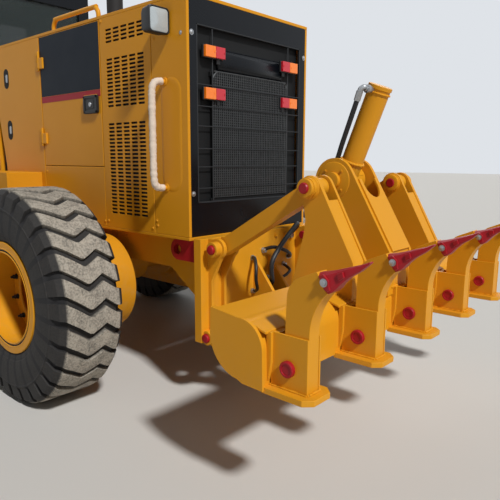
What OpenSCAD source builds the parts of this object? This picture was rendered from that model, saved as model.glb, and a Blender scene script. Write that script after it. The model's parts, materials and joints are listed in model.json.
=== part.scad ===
// Articulated motor grader with a rear ripper.
// Lengths are in millimetres. +X points forward, +Y to the left and +Z up.
// Places are given from the ground under the rear tandem axle, in the centre plane.

/* [Wheels] */
// Outer radius of a tyre, and the height of every axle
tyre_r = 675; // [650:1:690]
// Width of a tyre at its sidewalls
tyre_w = 445; // [420:1:450]
// Radius of the rims at the tyre's bead
bead_r = 317; // [300:1:330]
// Distance between the centre planes of the left and right tyres
track = 2200; // [2180:1:2240]
// Distance between the two axles of a tandem
tandem_base = 1523; // [1500:1:1560]
// Distance from the middle of the tandems to the front axle
wheelbase = 6086; // [6050:1:6150]

/* [Rear frame] */
// Radius of the round ends of a tandem case
tandem_r = 330; // [300:1:340]
// Thickness of a tandem case
tandem_w = 280; // [240:1:290]
// Distance of a tandem case from the centre plane
tandem_y = 560; // [540:1:570]
// Distance of the frame rails' outer faces from the centre plane
rail_y = 500; // [480:1:510]
// Width of a frame rail
rail_w = 100; // [80:1:110]
// Height of the underside of the frame rails
rail_z = 840; // [830:1:860]
// Place of the articulation pin
hitch_x = 1950; // [1940:1:1980]
// Radius of the articulation pin
hitch_pin_r = 45; // [35:1:50]

/* [Engine enclosure] */
// Width of the enclosure
hood_w = 1148; // [1140:1:1160]
// Distance of the enclosure's back behind the rear axle
hood_rear = 886; // [880:1:890]
// Place of the enclosure's front
hood_front = 1600; // [1580:1:1620]
// Height of the deck that carries the enclosure
deck_z = 1060; // [1056:1:1070]
// Height of the enclosure's top
hood_top_z = 2455; // [2420:1:2480]
// Thickness of the enclosure's panels
panel_t = 20; // [12:1:22]
// Gap between neighbouring panels
panel_gap = 4; // [3:0.5:5]
// Place of the engine doors' rear edge
door_rear_x = -20; // [-24:1:-16]
// Place of the engine doors' front edge
door_front_x = 790; // [780:1:800]
// Height of the engine doors' lower edge
door_z = 1474; // [1460:1:1490]

/* [Ripper] */
// Half width of the ripper's mounting plate
mount_half_w = 560; // [550:1:570]
// Distance between the pins of a ripper arm
arm_len = 764; // [755:1:775]
// Angle at which the arms stand when the ripper is raised
arm_rise = 30.3; // [28:0.1:31]
// Half length of the ripper's beam
beam_half_w = 1165; // [1150:1:1180]
// Distance between neighbouring shanks
shank_pitch = 534; // [520:1:540]
// Thickness of a shank
shank_t = 64; // [50:1:66]
// Radius of the ripper's pins
pin_r = 28; // [24:1:30]

/* [Cab] */
// Place of the cab's back wall
cab_rear_x = 2150; // [2140:1:2180]
// Place of the cab's front wall
cab_front_x = 3380; // [3350:1:3400]
// Half width of the cab
cab_half_w = 740; // [720:1:760]
// Height of the cab's floor
cab_floor_z = 1250; // [1240:1:1260]
// Height of the cab's top
cab_top_z = 3256; // [3200:1:3280]
// Thickness of the cab's walls and posts
cab_t = 50; // [45:1:60]

/* [Blade] */
// Length of the moldboard
blade_len = 3658; // [3600:1:3680]
// Height of the moldboard
blade_h = 610; // [600:1:620]
// Thickness of the moldboard
blade_t = 22; // [20:1:25]
// Height of the cutting edge above the ground
blade_clear = 60; // [40:1:80]
// Place of the circle's centre
circle_x = 4520; // [4500:1:4540]
// Outer radius of the circle
circle_r = 740; // [720:1:750]

/* [Fits] */
// Clearance round a turning pin
pin_fit = 0.3; // [0.2:0.1:0.5]
// Clearance beside a moving lug
side_fit = 5; // [4:0.5:6]

/* [Hidden] */
$fn = 48;

yellow = "#e9a21c";
red = "#a81420";
black = "#17191c";
steel = "#9a9c9e";
glass = "#6d7f86";
rubber = "#2b2c2e";

axle_z = tyre_r;
mid_axle_x = tandem_base;
tandem_x = tandem_base / 2;
front_axle_x = tandem_x + wheelbase;
hood_y = hood_w / 2;
panel_y = hood_y - panel_t;
rail_top = deck_z - panel_t;

// Ends of the machine, front and rear, which set the origin half way between them
front_x = front_axle_x + 852.5;
tooth_tip_x = -2380;
rear_axle_x = -(front_x + tooth_tip_x) / 2;

module from_rear_axle() {
    translate([rear_axle_x, 0, 0]) children();
}

// A box between two opposite corners
module block(a, b) {
    translate(a) cube(b - a);
}

module both_sides() {
    children();
    mirror([0, 1, 0]) children();
}

// An outline drawn in x and z, as thick as the distance from y0 to y1
module plate(y0, y1) {
    translate([0, y1, 0]) rotate([90, 0, 0]) linear_extrude(y1 - y0) children();
}

// An outline drawn in y and z, from x0 to x1
module across(x0, x1) {
    translate([x0, 0, 0]) rotate([90, 0, 90]) linear_extrude(x1 - x0) children();
}

// A round bar along y through a point given by its x and z
module bar_y(p, r, y0, y1) {
    translate([p[0], y1, p[1]]) rotate([90, 0, 0]) cylinder(r = r, h = y1 - y0);
}

// A round bar between two points
module bar(a, b, r) {
    d = b - a;
    translate(a) rotate([0, acos(d[2] / norm(d)), atan2(d[1], d[0])])
        cylinder(r = r, h = norm(d));
}

// An outline with round ends about two points, a hair narrower between them
module strap(a, b, r) {
    d = b - a;
    half = r - 0.5;
    translate(a) circle(r);
    translate(b) circle(r);
    translate(a) rotate(atan2(d[1], d[0])) translate([0, -half]) square([norm(d), 2 * half]);
}

// Wheels
flange_r = bead_r + 33;
bead_half = 188;
flange_t = 17;
tread_half = 165;

// A wheel's own frame: +Z points away from the machine
module at_wheel(x, side) {
    translate([x, side * track / 2, axle_z]) rotate([-90 * side, 0, 0]) children();
}

module tyre(x, side) {
    shoulder = [tyre_r - 35, tyre_w / 2 - 18];
    bulge = [(tyre_r + bead_r) / 2 - 26, tyre_w / 2];
    bead = [flange_r + 2, bead_half - 1];
    color(rubber) from_rear_axle() at_wheel(x, side) rotate_extrude() polygon([
        [bead_r + pin_fit, -bead[1]], [bead[0], -bead[1]], [bulge[0], -bulge[1]],
        [shoulder[0], -shoulder[1]], [tyre_r, -tread_half], [tyre_r, tread_half],
        shoulder, bulge, bead, [bead_r + pin_fit, bead[1]]]);
}

barrel_r = bead_r - 15;
hub_r = 150;
disc_t = 20;
stub_r = 100;
hub_in = 219;

module rim_outline(disc_w, hub_back, hub_nose) {
    flange_w = bead_half + flange_t;
    polygon([
        [bead_r, -bead_half], [flange_r, -bead_half], [flange_r, -flange_w],
        [barrel_r, -flange_w], [barrel_r, disc_w - disc_t], [hub_r, disc_w - disc_t],
        [hub_r, hub_back], [0, hub_back], [0, hub_nose], [hub_r - 40, hub_nose],
        [hub_r - 40, disc_w], [barrel_r, disc_w], [barrel_r, flange_w],
        [flange_r, flange_w], [flange_r, bead_half], [bead_r, bead_half]]);
}

module rear_rim(x, side) {
    color(yellow) from_rear_axle() at_wheel(x, side)
        rotate_extrude() rim_outline(-130, -hub_in, -60);
}

front_hub_back = -60;

module front_rim(side) {
    color(yellow) from_rear_axle() at_wheel(front_axle_x, side)
        rotate_extrude() rim_outline(40, front_hub_back, 120);
}

module tyre_rear_left() { tyre(0, 1); }
module tyre_rear_right() { tyre(0, -1); }
module tyre_mid_left() { tyre(mid_axle_x, 1); }
module tyre_mid_right() { tyre(mid_axle_x, -1); }
module tyre_front_left() { tyre(front_axle_x, 1); }
module tyre_front_right() { tyre(front_axle_x, -1); }
module rim_rear_left() { rear_rim(0, 1); }
module rim_rear_right() { rear_rim(0, -1); }
module rim_mid_left() { rear_rim(mid_axle_x, 1); }
module rim_mid_right() { rear_rim(mid_axle_x, -1); }
module rim_front_left() { front_rim(1); }
module rim_front_right() { front_rim(-1); }

// Tandem cases with their wheel stubs, and the drive axle that joins them
module tandems() {
    case_out = tandem_y + tandem_w;
    stub_out = track / 2 - hub_in - pin_fit;
    color(yellow) from_rear_axle() union() {
        both_sides() {
            plate(tandem_y, case_out) strap([0, axle_z], [mid_axle_x, axle_z], tandem_r);
            for (x = [0, mid_axle_x]) bar_y([x, axle_z], stub_r, case_out, stub_out);
            bar_y([tandem_x, axle_z], 240, rail_y, tandem_y);
        }
        bar_y([tandem_x, axle_z], 150, -rail_y, rail_y);
        bar_y([tandem_x, axle_z], 230, -220, 220);
    }
}

// Rear frame
plate_front = -905;
plate_rear = -965;
hitch_z = [640, 690, 1000, 1050];
hitch_r = 130;

module rear_frame() {
    color(yellow) from_rear_axle() union() {
        both_sides() {
            block([plate_front, rail_y - rail_w, rail_z], [1500, rail_y, rail_top]);
            plate(rail_y - 60, rail_y)
                polygon([[plate_front, rail_z], [plate_front, 640], [-620, rail_z]]);
            block([850, hood_y, 1150], [hood_front, 860, 1420]);
            block([1480, rail_y - rail_w, 1020], [hood_front, 860, deck_z]);
            block([1480, hood_y, 1020], [hood_front, 860, 1150]);
        }
        block([-700, -rail_y, rail_z], [-600, rail_y, rail_top]);
        block([200, -rail_y, 930], [300, rail_y, rail_top]);
        block([1400, -rail_y, rail_z], [hood_front, rail_y, rail_top]);
        block([-hood_rear, -hood_y, rail_top], [hood_front, hood_y, deck_z]);
        block([1500, -300, hitch_z[0]], [1760, 300, hitch_z[3]]);
        for (z = [0, 2]) {
            block([1760, -hitch_r, hitch_z[z]], [hitch_x, hitch_r, hitch_z[z + 1]]);
            translate([hitch_x, 0, hitch_z[z]]) cylinder(r = hitch_r, h = 50);
        }
        translate([hitch_x, 0, hitch_z[0] - 20])
            cylinder(r = hitch_pin_r, h = hitch_z[3] - hitch_z[0] + 40);
    }
}

module engine() {
    color("#3a3c3e") from_rear_axle() {
        block([-150, -330, deck_z], [1150, 330, 1900]);
        block([-700, -480, deck_z], [-560, 480, 2330]);
    }
}

// Engine enclosure
panel_top = hood_top_z - panel_t;

module hood_top() {
    rail_out = hood_y - 60;
    color(yellow) from_rear_axle() union() {
        block([-hood_rear, -hood_y, panel_top], [hood_front, hood_y, hood_top_z]);
        block([hood_front - panel_t, -hood_y, deck_z], [hood_front, hood_y, panel_top]);
        both_sides() {
            for (x = [66, 658]) bar([x, rail_out, hood_top_z - 5], [x, rail_out, hood_top_z + 120], 16);
            bar([66, rail_out, hood_top_z + 120], [658, rail_out, hood_top_z + 120], 16);
        }
    }
}

module side_panels() {
    forward_x = door_front_x + panel_gap;
    grille_rear = -560;
    color(yellow) from_rear_axle() both_sides() {
        block([door_rear_x, panel_y, deck_z], [door_front_x, hood_y, door_z - panel_gap]);
        difference() {
            block([forward_x, panel_y, deck_z], [hood_front - panel_t, hood_y, panel_top]);
            for (p = [[1370, 2180], [1345, 1763]])
                plate(panel_y - 1, hood_y + 1) strap(p - [0, 20], p + [0, 20], 24);
        }
        difference() {
            block([grille_rear, panel_y, deck_z],
                [door_rear_x - panel_gap, hood_y, panel_top]);
            for (z = [2275, 1866, 1157])
                block([-490, panel_y + 8, z], [-90, hood_y + 1, z == 2275 ? 2357 : z == 1866 ? 2173 : 1772]);
        }
        block([-hood_rear + panel_t, panel_y, deck_z],
            [grille_rear - panel_gap, hood_y, panel_top]);
        hinge_leaves(door_front_x, hood_y, engine_hinges, 60);
    }
}

// Bored knuckles that turn, and below each a fixed leaf with the pin they turn on
hinge_r = 9;
hinge_pin_r = 5;

module hinge_knuckles(x, face, heights, leaf) {
    for (z = heights) difference() {
        union() {
            translate([x, face + 10, z]) cylinder(r = hinge_r, h = 80);
            block([min(x, x + leaf), face, z], [max(x, x + leaf), face + 14, z + 80]);
        }
        translate([x, face + 10, z - 1]) cylinder(r = hinge_pin_r + pin_fit, h = 82);
    }
}

module hinge_leaves(x, face, heights, leaf) {
    for (z = heights) union() {
        translate([x, face + 10, z - 42]) cylinder(r = hinge_r, h = 40);
        translate([x, face + 10, z - 42]) cylinder(r = hinge_pin_r, h = 120);
        block([min(x, x + leaf), face, z - 42], [max(x, x + leaf), face + 14, z - 2]);
    }
}

engine_hinges = [1640, 2200];

module engine_door(side) {
    color(yellow) from_rear_axle() mirror([0, side < 0 ? 1 : 0, 0]) union() {
        block([door_rear_x + panel_gap, panel_y, door_z],
            [door_front_x - panel_gap, hood_y, panel_top - panel_gap]);
        hinge_knuckles(door_front_x, hood_y, engine_hinges, -60);
        block([30, hood_y, 1840], [180, hood_y + 12, 1960]);
    }
}

module engine_door_left() { engine_door(1); }
module engine_door_right() { engine_door(-1); }

mesh_half = 498;
mesh_z = [1263, 2293];
mesh_face = -880;

// The black back panel, and the screen in its opening
module rear_panel() {
    color(black) from_rear_axle() {
        difference() {
            block([-hood_rear, -hood_y, deck_z], [-hood_rear + panel_t, hood_y, panel_top]);
            block([-hood_rear - 1, -mesh_half, mesh_z[0]],
                [-hood_rear + panel_t + 1, mesh_half, mesh_z[1]]);
        }
        difference() {
            block([mesh_face, -mesh_half + 1, mesh_z[0] + 0.5],
                [mesh_face + 8, mesh_half - 1, mesh_z[1] - 0.5]);
            for (y = [-420:120:420], z = [1300:120:1960])
                block([mesh_face - 1, y - 50, z], [mesh_face + 9, y + 50, z + 100]);
        }
    }
}

module rear_lights() {
    color("#e8741c") from_rear_axle() both_sides() {
        for (z = [1878, 2118]) block([mesh_face - 26, 256, z], [mesh_face, 448, z + 70]);
        block([-640, hood_y, 2330], [-600, 650, 2350]);
        block([-690, 650, 2235], [-560, 800, 2400]);
    }
}

module grab_handles() {
    hold_y = hood_y + 100;
    color("#e8e2dc") from_rear_axle() both_sides() union() {
        bar([-685, hold_y, 1335], [-685, hold_y, 1995], 22);
        for (z = [1357, 1973]) bar([-685, hood_y, z], [-685, hold_y, z], 22);
    }
}

module hood_stacks() {
    color(black) from_rear_axle() {
        translate([350, 180, hood_top_z]) cylinder(r = 60, h = 600);
        translate([950, -200, hood_top_z]) cylinder(r = 120, h = 260);
    }
}

// Ripper
upper_pin = [-1040, 1000];
lower_pin = [-990, 450];
arm_step = arm_len * [-cos(arm_rise), sin(arm_rise)];
tower_pin = upper_pin + arm_step;
beam_pin = lower_pin + arm_step;
rod_pin = [-1220, 460];
trunnion = [-1597, 1410];
lug_in = [370, 390];
lug_out = [475, 500];
arm_y = [lug_in[1] + side_fit, lug_out[0] - side_fit];
arm_r = 55;
lug_r = 62;
beam_back = -1961;
beam_foot_z = 598;

// The two lugs on each side of an arm or link
module side_lugs() {
    both_sides() {
        plate(lug_in[0], lug_in[1]) children();
        plate(lug_out[0], lug_out[1]) children();
    }
}

module ripper_mount() {
    color(yellow) from_rear_axle() difference() {
        union() {
            block([plate_rear, -mount_half_w, 415], [plate_front, mount_half_w, 1056]);
            side_lugs() {
                translate(upper_pin) circle(lug_r);
                translate(lower_pin) circle(lug_r);
                polygon([[plate_rear, 1056], [upper_pin[0], 1056], [upper_pin[0] - lug_r, 1000],
                    [plate_rear - 30, 800], [plate_rear - 30, 620],
                    [lower_pin[0] - lug_r, 450], [plate_rear, 420]]);
            }
            both_sides() plate(62, 87) {
                translate(rod_pin) circle(70);
                polygon([[plate_rear, 900], [plate_rear, 420], [rod_pin[0], rod_pin[1] - 70],
                    [rod_pin[0] - 60, rod_pin[1] + 40]]);
            }
            both_sides() {
                bar_y(rod_pin, 45, 87, 100);
                bar_y(upper_pin, 45, lug_out[1], 545);
                bar_y(lower_pin, 45, lug_out[1], 545);
            }
        }
        both_sides() {
            block([plate_rear - 100, lug_in[1], 400], [plate_front + 1, lug_out[0], 540]);
            bar_y(upper_pin, pin_r + pin_fit, lug_in[0] - 30, 561);
            bar_y(lower_pin, pin_r + pin_fit, lug_in[0] - 30, 561);
        }
    }
}

// Red tow lugs under the frame and the pins on the mounting plate
module tow_lugs() {
    color(red) from_rear_axle() both_sides() {
        difference() {
            plate(rail_y, 540) hull() {
                translate([-730, 971]) circle(60);
                translate([plate_front, 920]) square([1, 100]);
                translate([plate_front, 883]) square([90, 40]);
            }
            bar_y([-730, 971], 32, rail_y - 1, 541);
        }
        for (p = [upper_pin, lower_pin]) bar_y(p, pin_r, 348, mount_half_w);
    }
}

module ripper_arms() {
    cross_at = lower_pin + 0.8 * arm_step;
    color(yellow) from_rear_axle() difference() {
        union() {
            both_sides() plate(arm_y[0], arm_y[1]) strap(lower_pin, beam_pin, arm_r);
            bar_y(cross_at, 45, -arm_y[0], arm_y[0]);
        }
        both_sides() for (p = [lower_pin, beam_pin]) bar_y(p, pin_r + pin_fit, 300, 560);
    }
}

module ripper_links() {
    color(yellow) from_rear_axle() both_sides() difference() {
        plate(arm_y[0], arm_y[1]) strap(upper_pin, tower_pin, 48);
        for (p = [upper_pin, tower_pin]) bar_y(p, pin_r + pin_fit, 300, 560);
    }
}

shank_x = [-2132, -2008];
holder_x = [-2152, beam_back + 12];
holder_z = [620, 845];
foot_x = [-2250, -1946];
pocket_fit = 1;
holder_half = 55;
centre_lug = [100, 125];
shank_ys = [for (i = [-2:2]) i * shank_pitch];

module beam_outline() {
    polygon([[-1658, 895], [-1827, 888], [-1920, 846], [-1956, 775], [beam_back, beam_foot_z],
        [-1873, beam_foot_z], [-1769, 627], [-1704, 668], [-1661, 749]]);
}

module ripper_beam() {
    color(yellow) from_rear_axle() difference() {
        union() {
            difference() {
                plate(-beam_half_w, beam_half_w) beam_outline();
                both_sides() plate(lug_in[1], lug_out[0]) {
                    translate(beam_pin) circle(arm_r + side_fit + 5);
                    polygon([beam_pin + [0, 200], beam_pin + [300, 200], beam_pin + [300, -300],
                        beam_pin + [-10, -300], beam_pin + [-arm_r - 10, 0]]);
                }
            }
            side_lugs() {
                translate(beam_pin) circle(lug_r);
                translate(tower_pin) circle(lug_r);
                polygon([beam_pin + [lug_r, 0], [-1640, 960], [-1690, 1160],
                    tower_pin + [lug_r - 5, -20], tower_pin + [-30, 55], [-1960, 1180],
                    [-1950, 840], [-1660, 800]]);
            }
            both_sides() {
                plate(lug_in[1], lug_out[0])
                    polygon([[-1838, 1346], [-1960, 1200], [-1950, 840], [-1935, 840], [-1944, 1190],
                        [-1826, 1330]]);
                bar_y(tower_pin, 45, lug_out[1], 545);
                plate(centre_lug[0], centre_lug[1]) {
                    translate(trunnion) circle(125);
                    polygon([trunnion + [118, -40], [-1660, 860], [-1950, 840], [-1960, 1180],
                        trunnion + [-90, 86]]);
                }
            }
            plate(-centre_lug[0], centre_lug[0])
                polygon([[-1800, 1330], [-1960, 1180], [-1950, 840], [-1930, 840], [-1940, 1172],
                    [-1790, 1314]]);
            for (y = shank_ys) {
                block([holder_x[0], y - holder_half, holder_z[0]],
                    [holder_x[1], y + holder_half, holder_z[1]]);
                block([foot_x[0], y - 85, holder_z[0] - 30], [foot_x[1], y + 85, holder_z[0]]);
            }
        }
        both_sides() {
            for (p = [tower_pin, beam_pin]) bar_y(p, pin_r + pin_fit, 300, 560);
            bar_y(trunnion, 40 + pin_fit, 60, 126);
        }
        for (y = shank_ys) {
            block([shank_x[0] - pocket_fit, y - shank_t / 2 - pocket_fit, 500],
                [shank_x[1] + pocket_fit, y + shank_t / 2 + pocket_fit, 900]);
            bar_y([-2065, 708], 40 + pin_fit, y - 80, y + 80);
        }
    }
}

module ripper_shanks() {
    color(yellow) from_rear_axle() for (y = shank_ys) difference() {
        plate(y - shank_t / 2, y + shank_t / 2) polygon([
            [shank_x[1], 605], [shank_x[1], 830], [-2022, 940], [-2040, 1020], [-2070, 1062],
            [-2110, 1085], [-2167, 1109], [-2207, 1045], [-2160, 1007], [-2140, 905],
            [shank_x[0], 850], [shank_x[0], 605]]);
        bar_y([-2065, 708], 40 + pin_fit, y - 80, y + 80);
    }
}

// The red teeth, the pins that hold the shanks and the pins of the linkage
module ripper_teeth() {
    color(red) from_rear_axle() {
        for (y = shank_ys) {
            plate(y - 38, y + 38) polygon([[-2167, 1109], [-2207, 1045], [-2262, 1086],
                [tooth_tip_x, 1178], [-2250, 1152]]);
            bar_y([-2065, 708], 40, y - 72, y + 72);
        }
        both_sides() for (p = [tower_pin, beam_pin]) bar_y(p, pin_r, 348, mount_half_w);
    }
}

// Ripper cylinder, drawn along the line from the rod's eye to the trunnion
cyl_dir = (trunnion - rod_pin) / norm(trunnion - rod_pin);
barrel_low = 250;
barrel_high = 549;
ripper_rod_r = 30;
eye_half = 50;

module ripper_cylinder() {
    low = trunnion - barrel_low * cyl_dir;
    high = trunnion + barrel_high * cyl_dir;
    stop = trunnion + (barrel_high - 25) * cyl_dir;
    color(yellow) from_rear_axle() difference() {
        union() {
            bar([low[0], 0, low[1]], [high[0], 0, high[1]], 62);
            bar_y(trunnion, 40, -124, 124);
            bar_y(trunnion, 78, -94, 94);
        }
        bar([low[0], 0, low[1]] - [cyl_dir[0], 0, cyl_dir[1]], [stop[0], 0, stop[1]],
            ripper_rod_r + pin_fit);
    }
}

module ripper_rod() {
    tail = rod_pin + 920 * cyl_dir;
    color(steel) from_rear_axle() union() {
        bar([rod_pin[0], 0, rod_pin[1]], [tail[0], 0, tail[1]], ripper_rod_r);
        bar_y(rod_pin, 55, -eye_half, eye_half);
    }
}

// Front frame
ball = [front_axle_x - 367.5, 0, 980];
ball_r = 70;
nose_x = front_axle_x - 287.5;

module frame_outline() {
    fa = front_axle_x;
    polygon([[hitch_x, 700], [cab_front_x, 700], [cab_front_x + 470, 1640], [fa - 797.5, 1700],
        [fa - 427.5, 1450], [nose_x, 1150], [nose_x, 900], [fa + 152.5, 900],
        [fa + 352.5, 1020], [fa + 352.5, 1250], [fa + 102.5, 1450], [fa - 297.5, 1900],
        [fa - 597.5, 2000], [cab_front_x + 340, 1950], [cab_front_x + 10, 1235],
        [cab_front_x - 280, 990], [hitch_x, 990]]);
}

lift_x = 4650;
lift_y = 560;
lift_r = 65;
lift_pin_z = 2150;
lift_pin_r = 30;

module front_frame() {
    color(yellow) from_rear_axle() difference() {
        union() {
            plate(-140, 140) frame_outline();
            translate([hitch_x, 0, 700]) cylinder(r = hitch_r, h = 290);
            for (x = [cab_rear_x + 100, cab_front_x - 280])
                block([x, -700, 990], [x + 150, 700, cab_floor_z]);
            block([ball[0] + 30, -110, 900], [nose_x + 20, 110, 1060]);
            both_sides() {
                block([cab_rear_x + 100, 560, 1150], [cab_front_x - 130, 700, cab_floor_z]);
                block([cab_front_x - 680, 600, 690], [cab_front_x - 280, 640, 1150]);
                for (z = [690, 950])
                    block([cab_front_x - 680, 640, z], [cab_front_x - 280, 790, z + 30]);
                block([lift_x - 60, 140, 1700], [lift_x + 60, 300, 1940]);
                block([lift_x - 60, 250, 1940], [lift_x + 60, 300, 2240]);
                for (x = [lift_x - 110, lift_x + 85])
                    block([x, 250, lift_pin_z - 60], [x + 25, lift_y + 60, lift_pin_z + 60]);
                block([lift_x - 110, 250, lift_pin_z - 60], [lift_x + 110, 300, lift_pin_z + 60]);
            }
            for (x = [shift_top[0] - 85, shift_top[0] + 60]) across(x, x + 25) {
                polygon([[-130, 1780], [-130, 1560], [shift_top[1], shift_top[2] - 60],
                    [shift_top[1] - 55, shift_top[2]], [shift_top[1] - 40, shift_top[2] + 50]]);
                translate([shift_top[1], shift_top[2]]) circle(62);
            }
            block([front_axle_x + 252.5, -375, 820], [front_x - 60, 375, 1200]);
            block([front_x - 60, -420, 760], [front_x, 420, 1240]);
        }
        translate([hitch_x, 0, 600]) cylinder(r = hitch_pin_r + pin_fit, h = 500);
        translate(ball) sphere(r = ball_r + 0.5);
        block([front_axle_x - 27, -150, 899], [front_axle_x + 27, 150, 1005]);
        both_sides() bar([lift_x - 120, lift_y, lift_pin_z], [lift_x + 120, lift_y, lift_pin_z],
            lift_pin_r + pin_fit);
        bar(shift_top - [100, 0, 0], shift_top + [100, 0, 0], 25 + pin_fit);
    }
}

// Cab
glass_t = 8;
cab_door_x = [cab_rear_x + 180, cab_front_x - 200];
cab_door_z = [1330, 3080];
cab_hinges = [1500, 2150, 2800];
roof_t = 90;
roof_z = cab_top_z - roof_t;

module cab_frame() {
    inner = cab_half_w - cab_t;
    color(yellow) from_rear_axle() difference() {
        block([cab_rear_x, -cab_half_w, cab_floor_z], [cab_front_x, cab_half_w, cab_top_z]);
        block([cab_rear_x + cab_t, -inner, cab_floor_z + cab_t],
            [cab_front_x - cab_t, inner, roof_z]);
        block([cab_rear_x - 1, -620, 1750], [cab_rear_x + cab_t + 1, 620, 3080]);
        block([cab_front_x - cab_t - 1, -640, 1400], [cab_front_x + 1, 640, 3080]);
        both_sides() {
            block([cab_door_x[0], inner - 1, cab_door_z[0]],
                [cab_door_x[1], cab_half_w + 1, cab_door_z[1]]);
            block([cab_front_x - 155, inner - 1, 1400], [cab_front_x - 45, cab_half_w + 1, 3080]);
        }
    }
    color(yellow) from_rear_axle() both_sides()
        hinge_leaves(cab_door_x[0], cab_half_w, cab_hinges, -60);
}

module cab_glass() {
    mid = cab_t / 2;
    color(glass) from_rear_axle() {
        block([cab_rear_x + mid, -620, 1750], [cab_rear_x + mid + glass_t, 620, 3080]);
        block([cab_front_x - mid, -640, 1400], [cab_front_x - mid + glass_t, 640, 3080]);
        both_sides() block([cab_front_x - 155, cab_half_w - mid, 1400],
            [cab_front_x - 45, cab_half_w - mid + glass_t, 3080]);
    }
}

cab_door_gap = 6;

// A cab door's frame, hinged at its rear edge, and the opening of its window
module cab_door_window(y0, y1) {
    block([cab_door_x[0] + 80, y0, cab_door_z[0] + 160], [cab_door_x[1] - 80, y1, cab_door_z[1] - 80]);
}

module cab_door(side) {
    color(yellow) from_rear_axle() mirror([0, side < 0 ? 1 : 0, 0]) difference() {
        union() {
            block([cab_door_x[0] + cab_door_gap, cab_half_w - cab_t, cab_door_z[0] + cab_door_gap],
                [cab_door_x[1] - cab_door_gap, cab_half_w, cab_door_z[1] - cab_door_gap]);
            hinge_knuckles(cab_door_x[0], cab_half_w, cab_hinges, 60);
        }
        cab_door_window(cab_half_w - cab_t - 1, cab_half_w + 1);
    }
}

module door_glass(side) {
    color(glass) from_rear_axle() mirror([0, side < 0 ? 1 : 0, 0])
        cab_door_window(cab_half_w - cab_t / 2, cab_half_w - cab_t / 2 + glass_t);
}

module cab_door_left() { cab_door(1); }
module cab_door_right() { cab_door(-1); }
module door_glass_left() { door_glass(1); }
module door_glass_right() { door_glass(-1); }

module cab_interior() {
    floor_z = cab_floor_z + cab_t;
    color("#2c2f33") from_rear_axle() {
        union() {
            block([cab_rear_x + 300, -150, floor_z], [cab_rear_x + 600, 150, 1560]);
            block([cab_rear_x + 250, -260, 1560], [cab_rear_x + 750, 260, 1690]);
            block([cab_rear_x + 180, -250, 1620], [cab_rear_x + 280, 250, 2330]);
        }
        union() {
            block([cab_front_x - 250, -130, floor_z], [cab_front_x - 100, 130, 2000]);
            bar([cab_front_x - 200, 0, 1950], [cab_front_x - 330, 0, 2120], 30);
            translate([cab_front_x - 330, 0, 2120]) rotate([0, -37, 0]) cylinder(r = 200, h = 25);
        }
    }
}

module headlamps() {
    color(black) from_rear_axle() both_sides() union() {
        x = front_axle_x - 697.5;
        block([x, 140, 1880], [x + 60, 420, 1920]);
        block([x, 340, 1920], [x + 50, 380, 2060]);
        block([x - 20, 290, 2060], [x + 100, 430, 2220]);
    }
}

// Front axle
lean_y = 760;
lean_z = 640;
king_y = 868;
king_r = 40;
steer_arm_x = -125;
lean_lever = 320;
fork_t = 25;
axle_half = 60;
fork_x = axle_half + side_fit;
lean_pin_r = 18;
lean_bar_half = 20;
bridge_z = 775;

module front_axle() {
    color(yellow) from_rear_axle() difference() {
        union() {
            across(front_axle_x - axle_half, front_axle_x + axle_half)
                polygon([[-lean_y, 600], [-500, 680], [500, 680], [lean_y, 600], [lean_y, 690],
                    [600, 700], [480, 860], [300, 900], [-300, 900], [-480, 860], [-600, 700],
                    [-lean_y, 690]]);
            both_sides() bar([front_axle_x - axle_half, lean_y, lean_z],
                [front_axle_x + axle_half, lean_y, lean_z], 50);
        }
        both_sides() bar([front_axle_x - 70, lean_y, lean_z], [front_axle_x + 70, lean_y, lean_z],
            30 + pin_fit);
    }
}

// A lean knuckle: fork plates before and behind the axle's end, a lever and a kingpin
module knuckle(side) {
    lever_z = lean_z + lean_lever;
    bridge_out = king_y - 60 - side_fit;
    color(yellow) from_rear_axle() mirror([0, side < 0 ? 1 : 0, 0]) union() {
        bar([front_axle_x - fork_x, lean_y, lean_z], [front_axle_x + fork_x, lean_y, lean_z], 30);
        for (x = [-fork_x - fork_t, fork_x])
            across(front_axle_x + x, front_axle_x + x + fork_t) {
                translate([lean_y, lean_z]) circle(50);
                translate([lean_y, lean_z - 50]) square([king_y - lean_y, 100]);
            }
        for (x = [-fork_x - fork_t, fork_x]) block([front_axle_x + x, lean_y - 35, lean_z],
            [front_axle_x + x + fork_t, bridge_out, bridge_z]);
        block([front_axle_x - fork_x - fork_t, lean_y - 35, bridge_z - 40],
            [front_axle_x + fork_x + fork_t, bridge_out, bridge_z]);
        for (x = [-50, lean_bar_half + side_fit])
            across(front_axle_x + x, front_axle_x + x + 50 - lean_bar_half - side_fit)
                strap([lean_y, bridge_z - 20], [lean_y, lever_z], 35);
        bar([front_axle_x - 50, lean_y, lever_z], [front_axle_x + 50, lean_y, lever_z],
            lean_pin_r);
        block([front_axle_x - fork_x, lean_y + 60, lean_z - 50],
            [front_axle_x + fork_x, king_y - 20, lean_z + 50]);
        translate([front_axle_x, king_y, lean_z - 120]) cylinder(r = king_r, h = 240);
        translate([front_axle_x, king_y, lean_z - 50]) cylinder(r = 52, h = 100);
    }
}

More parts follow.
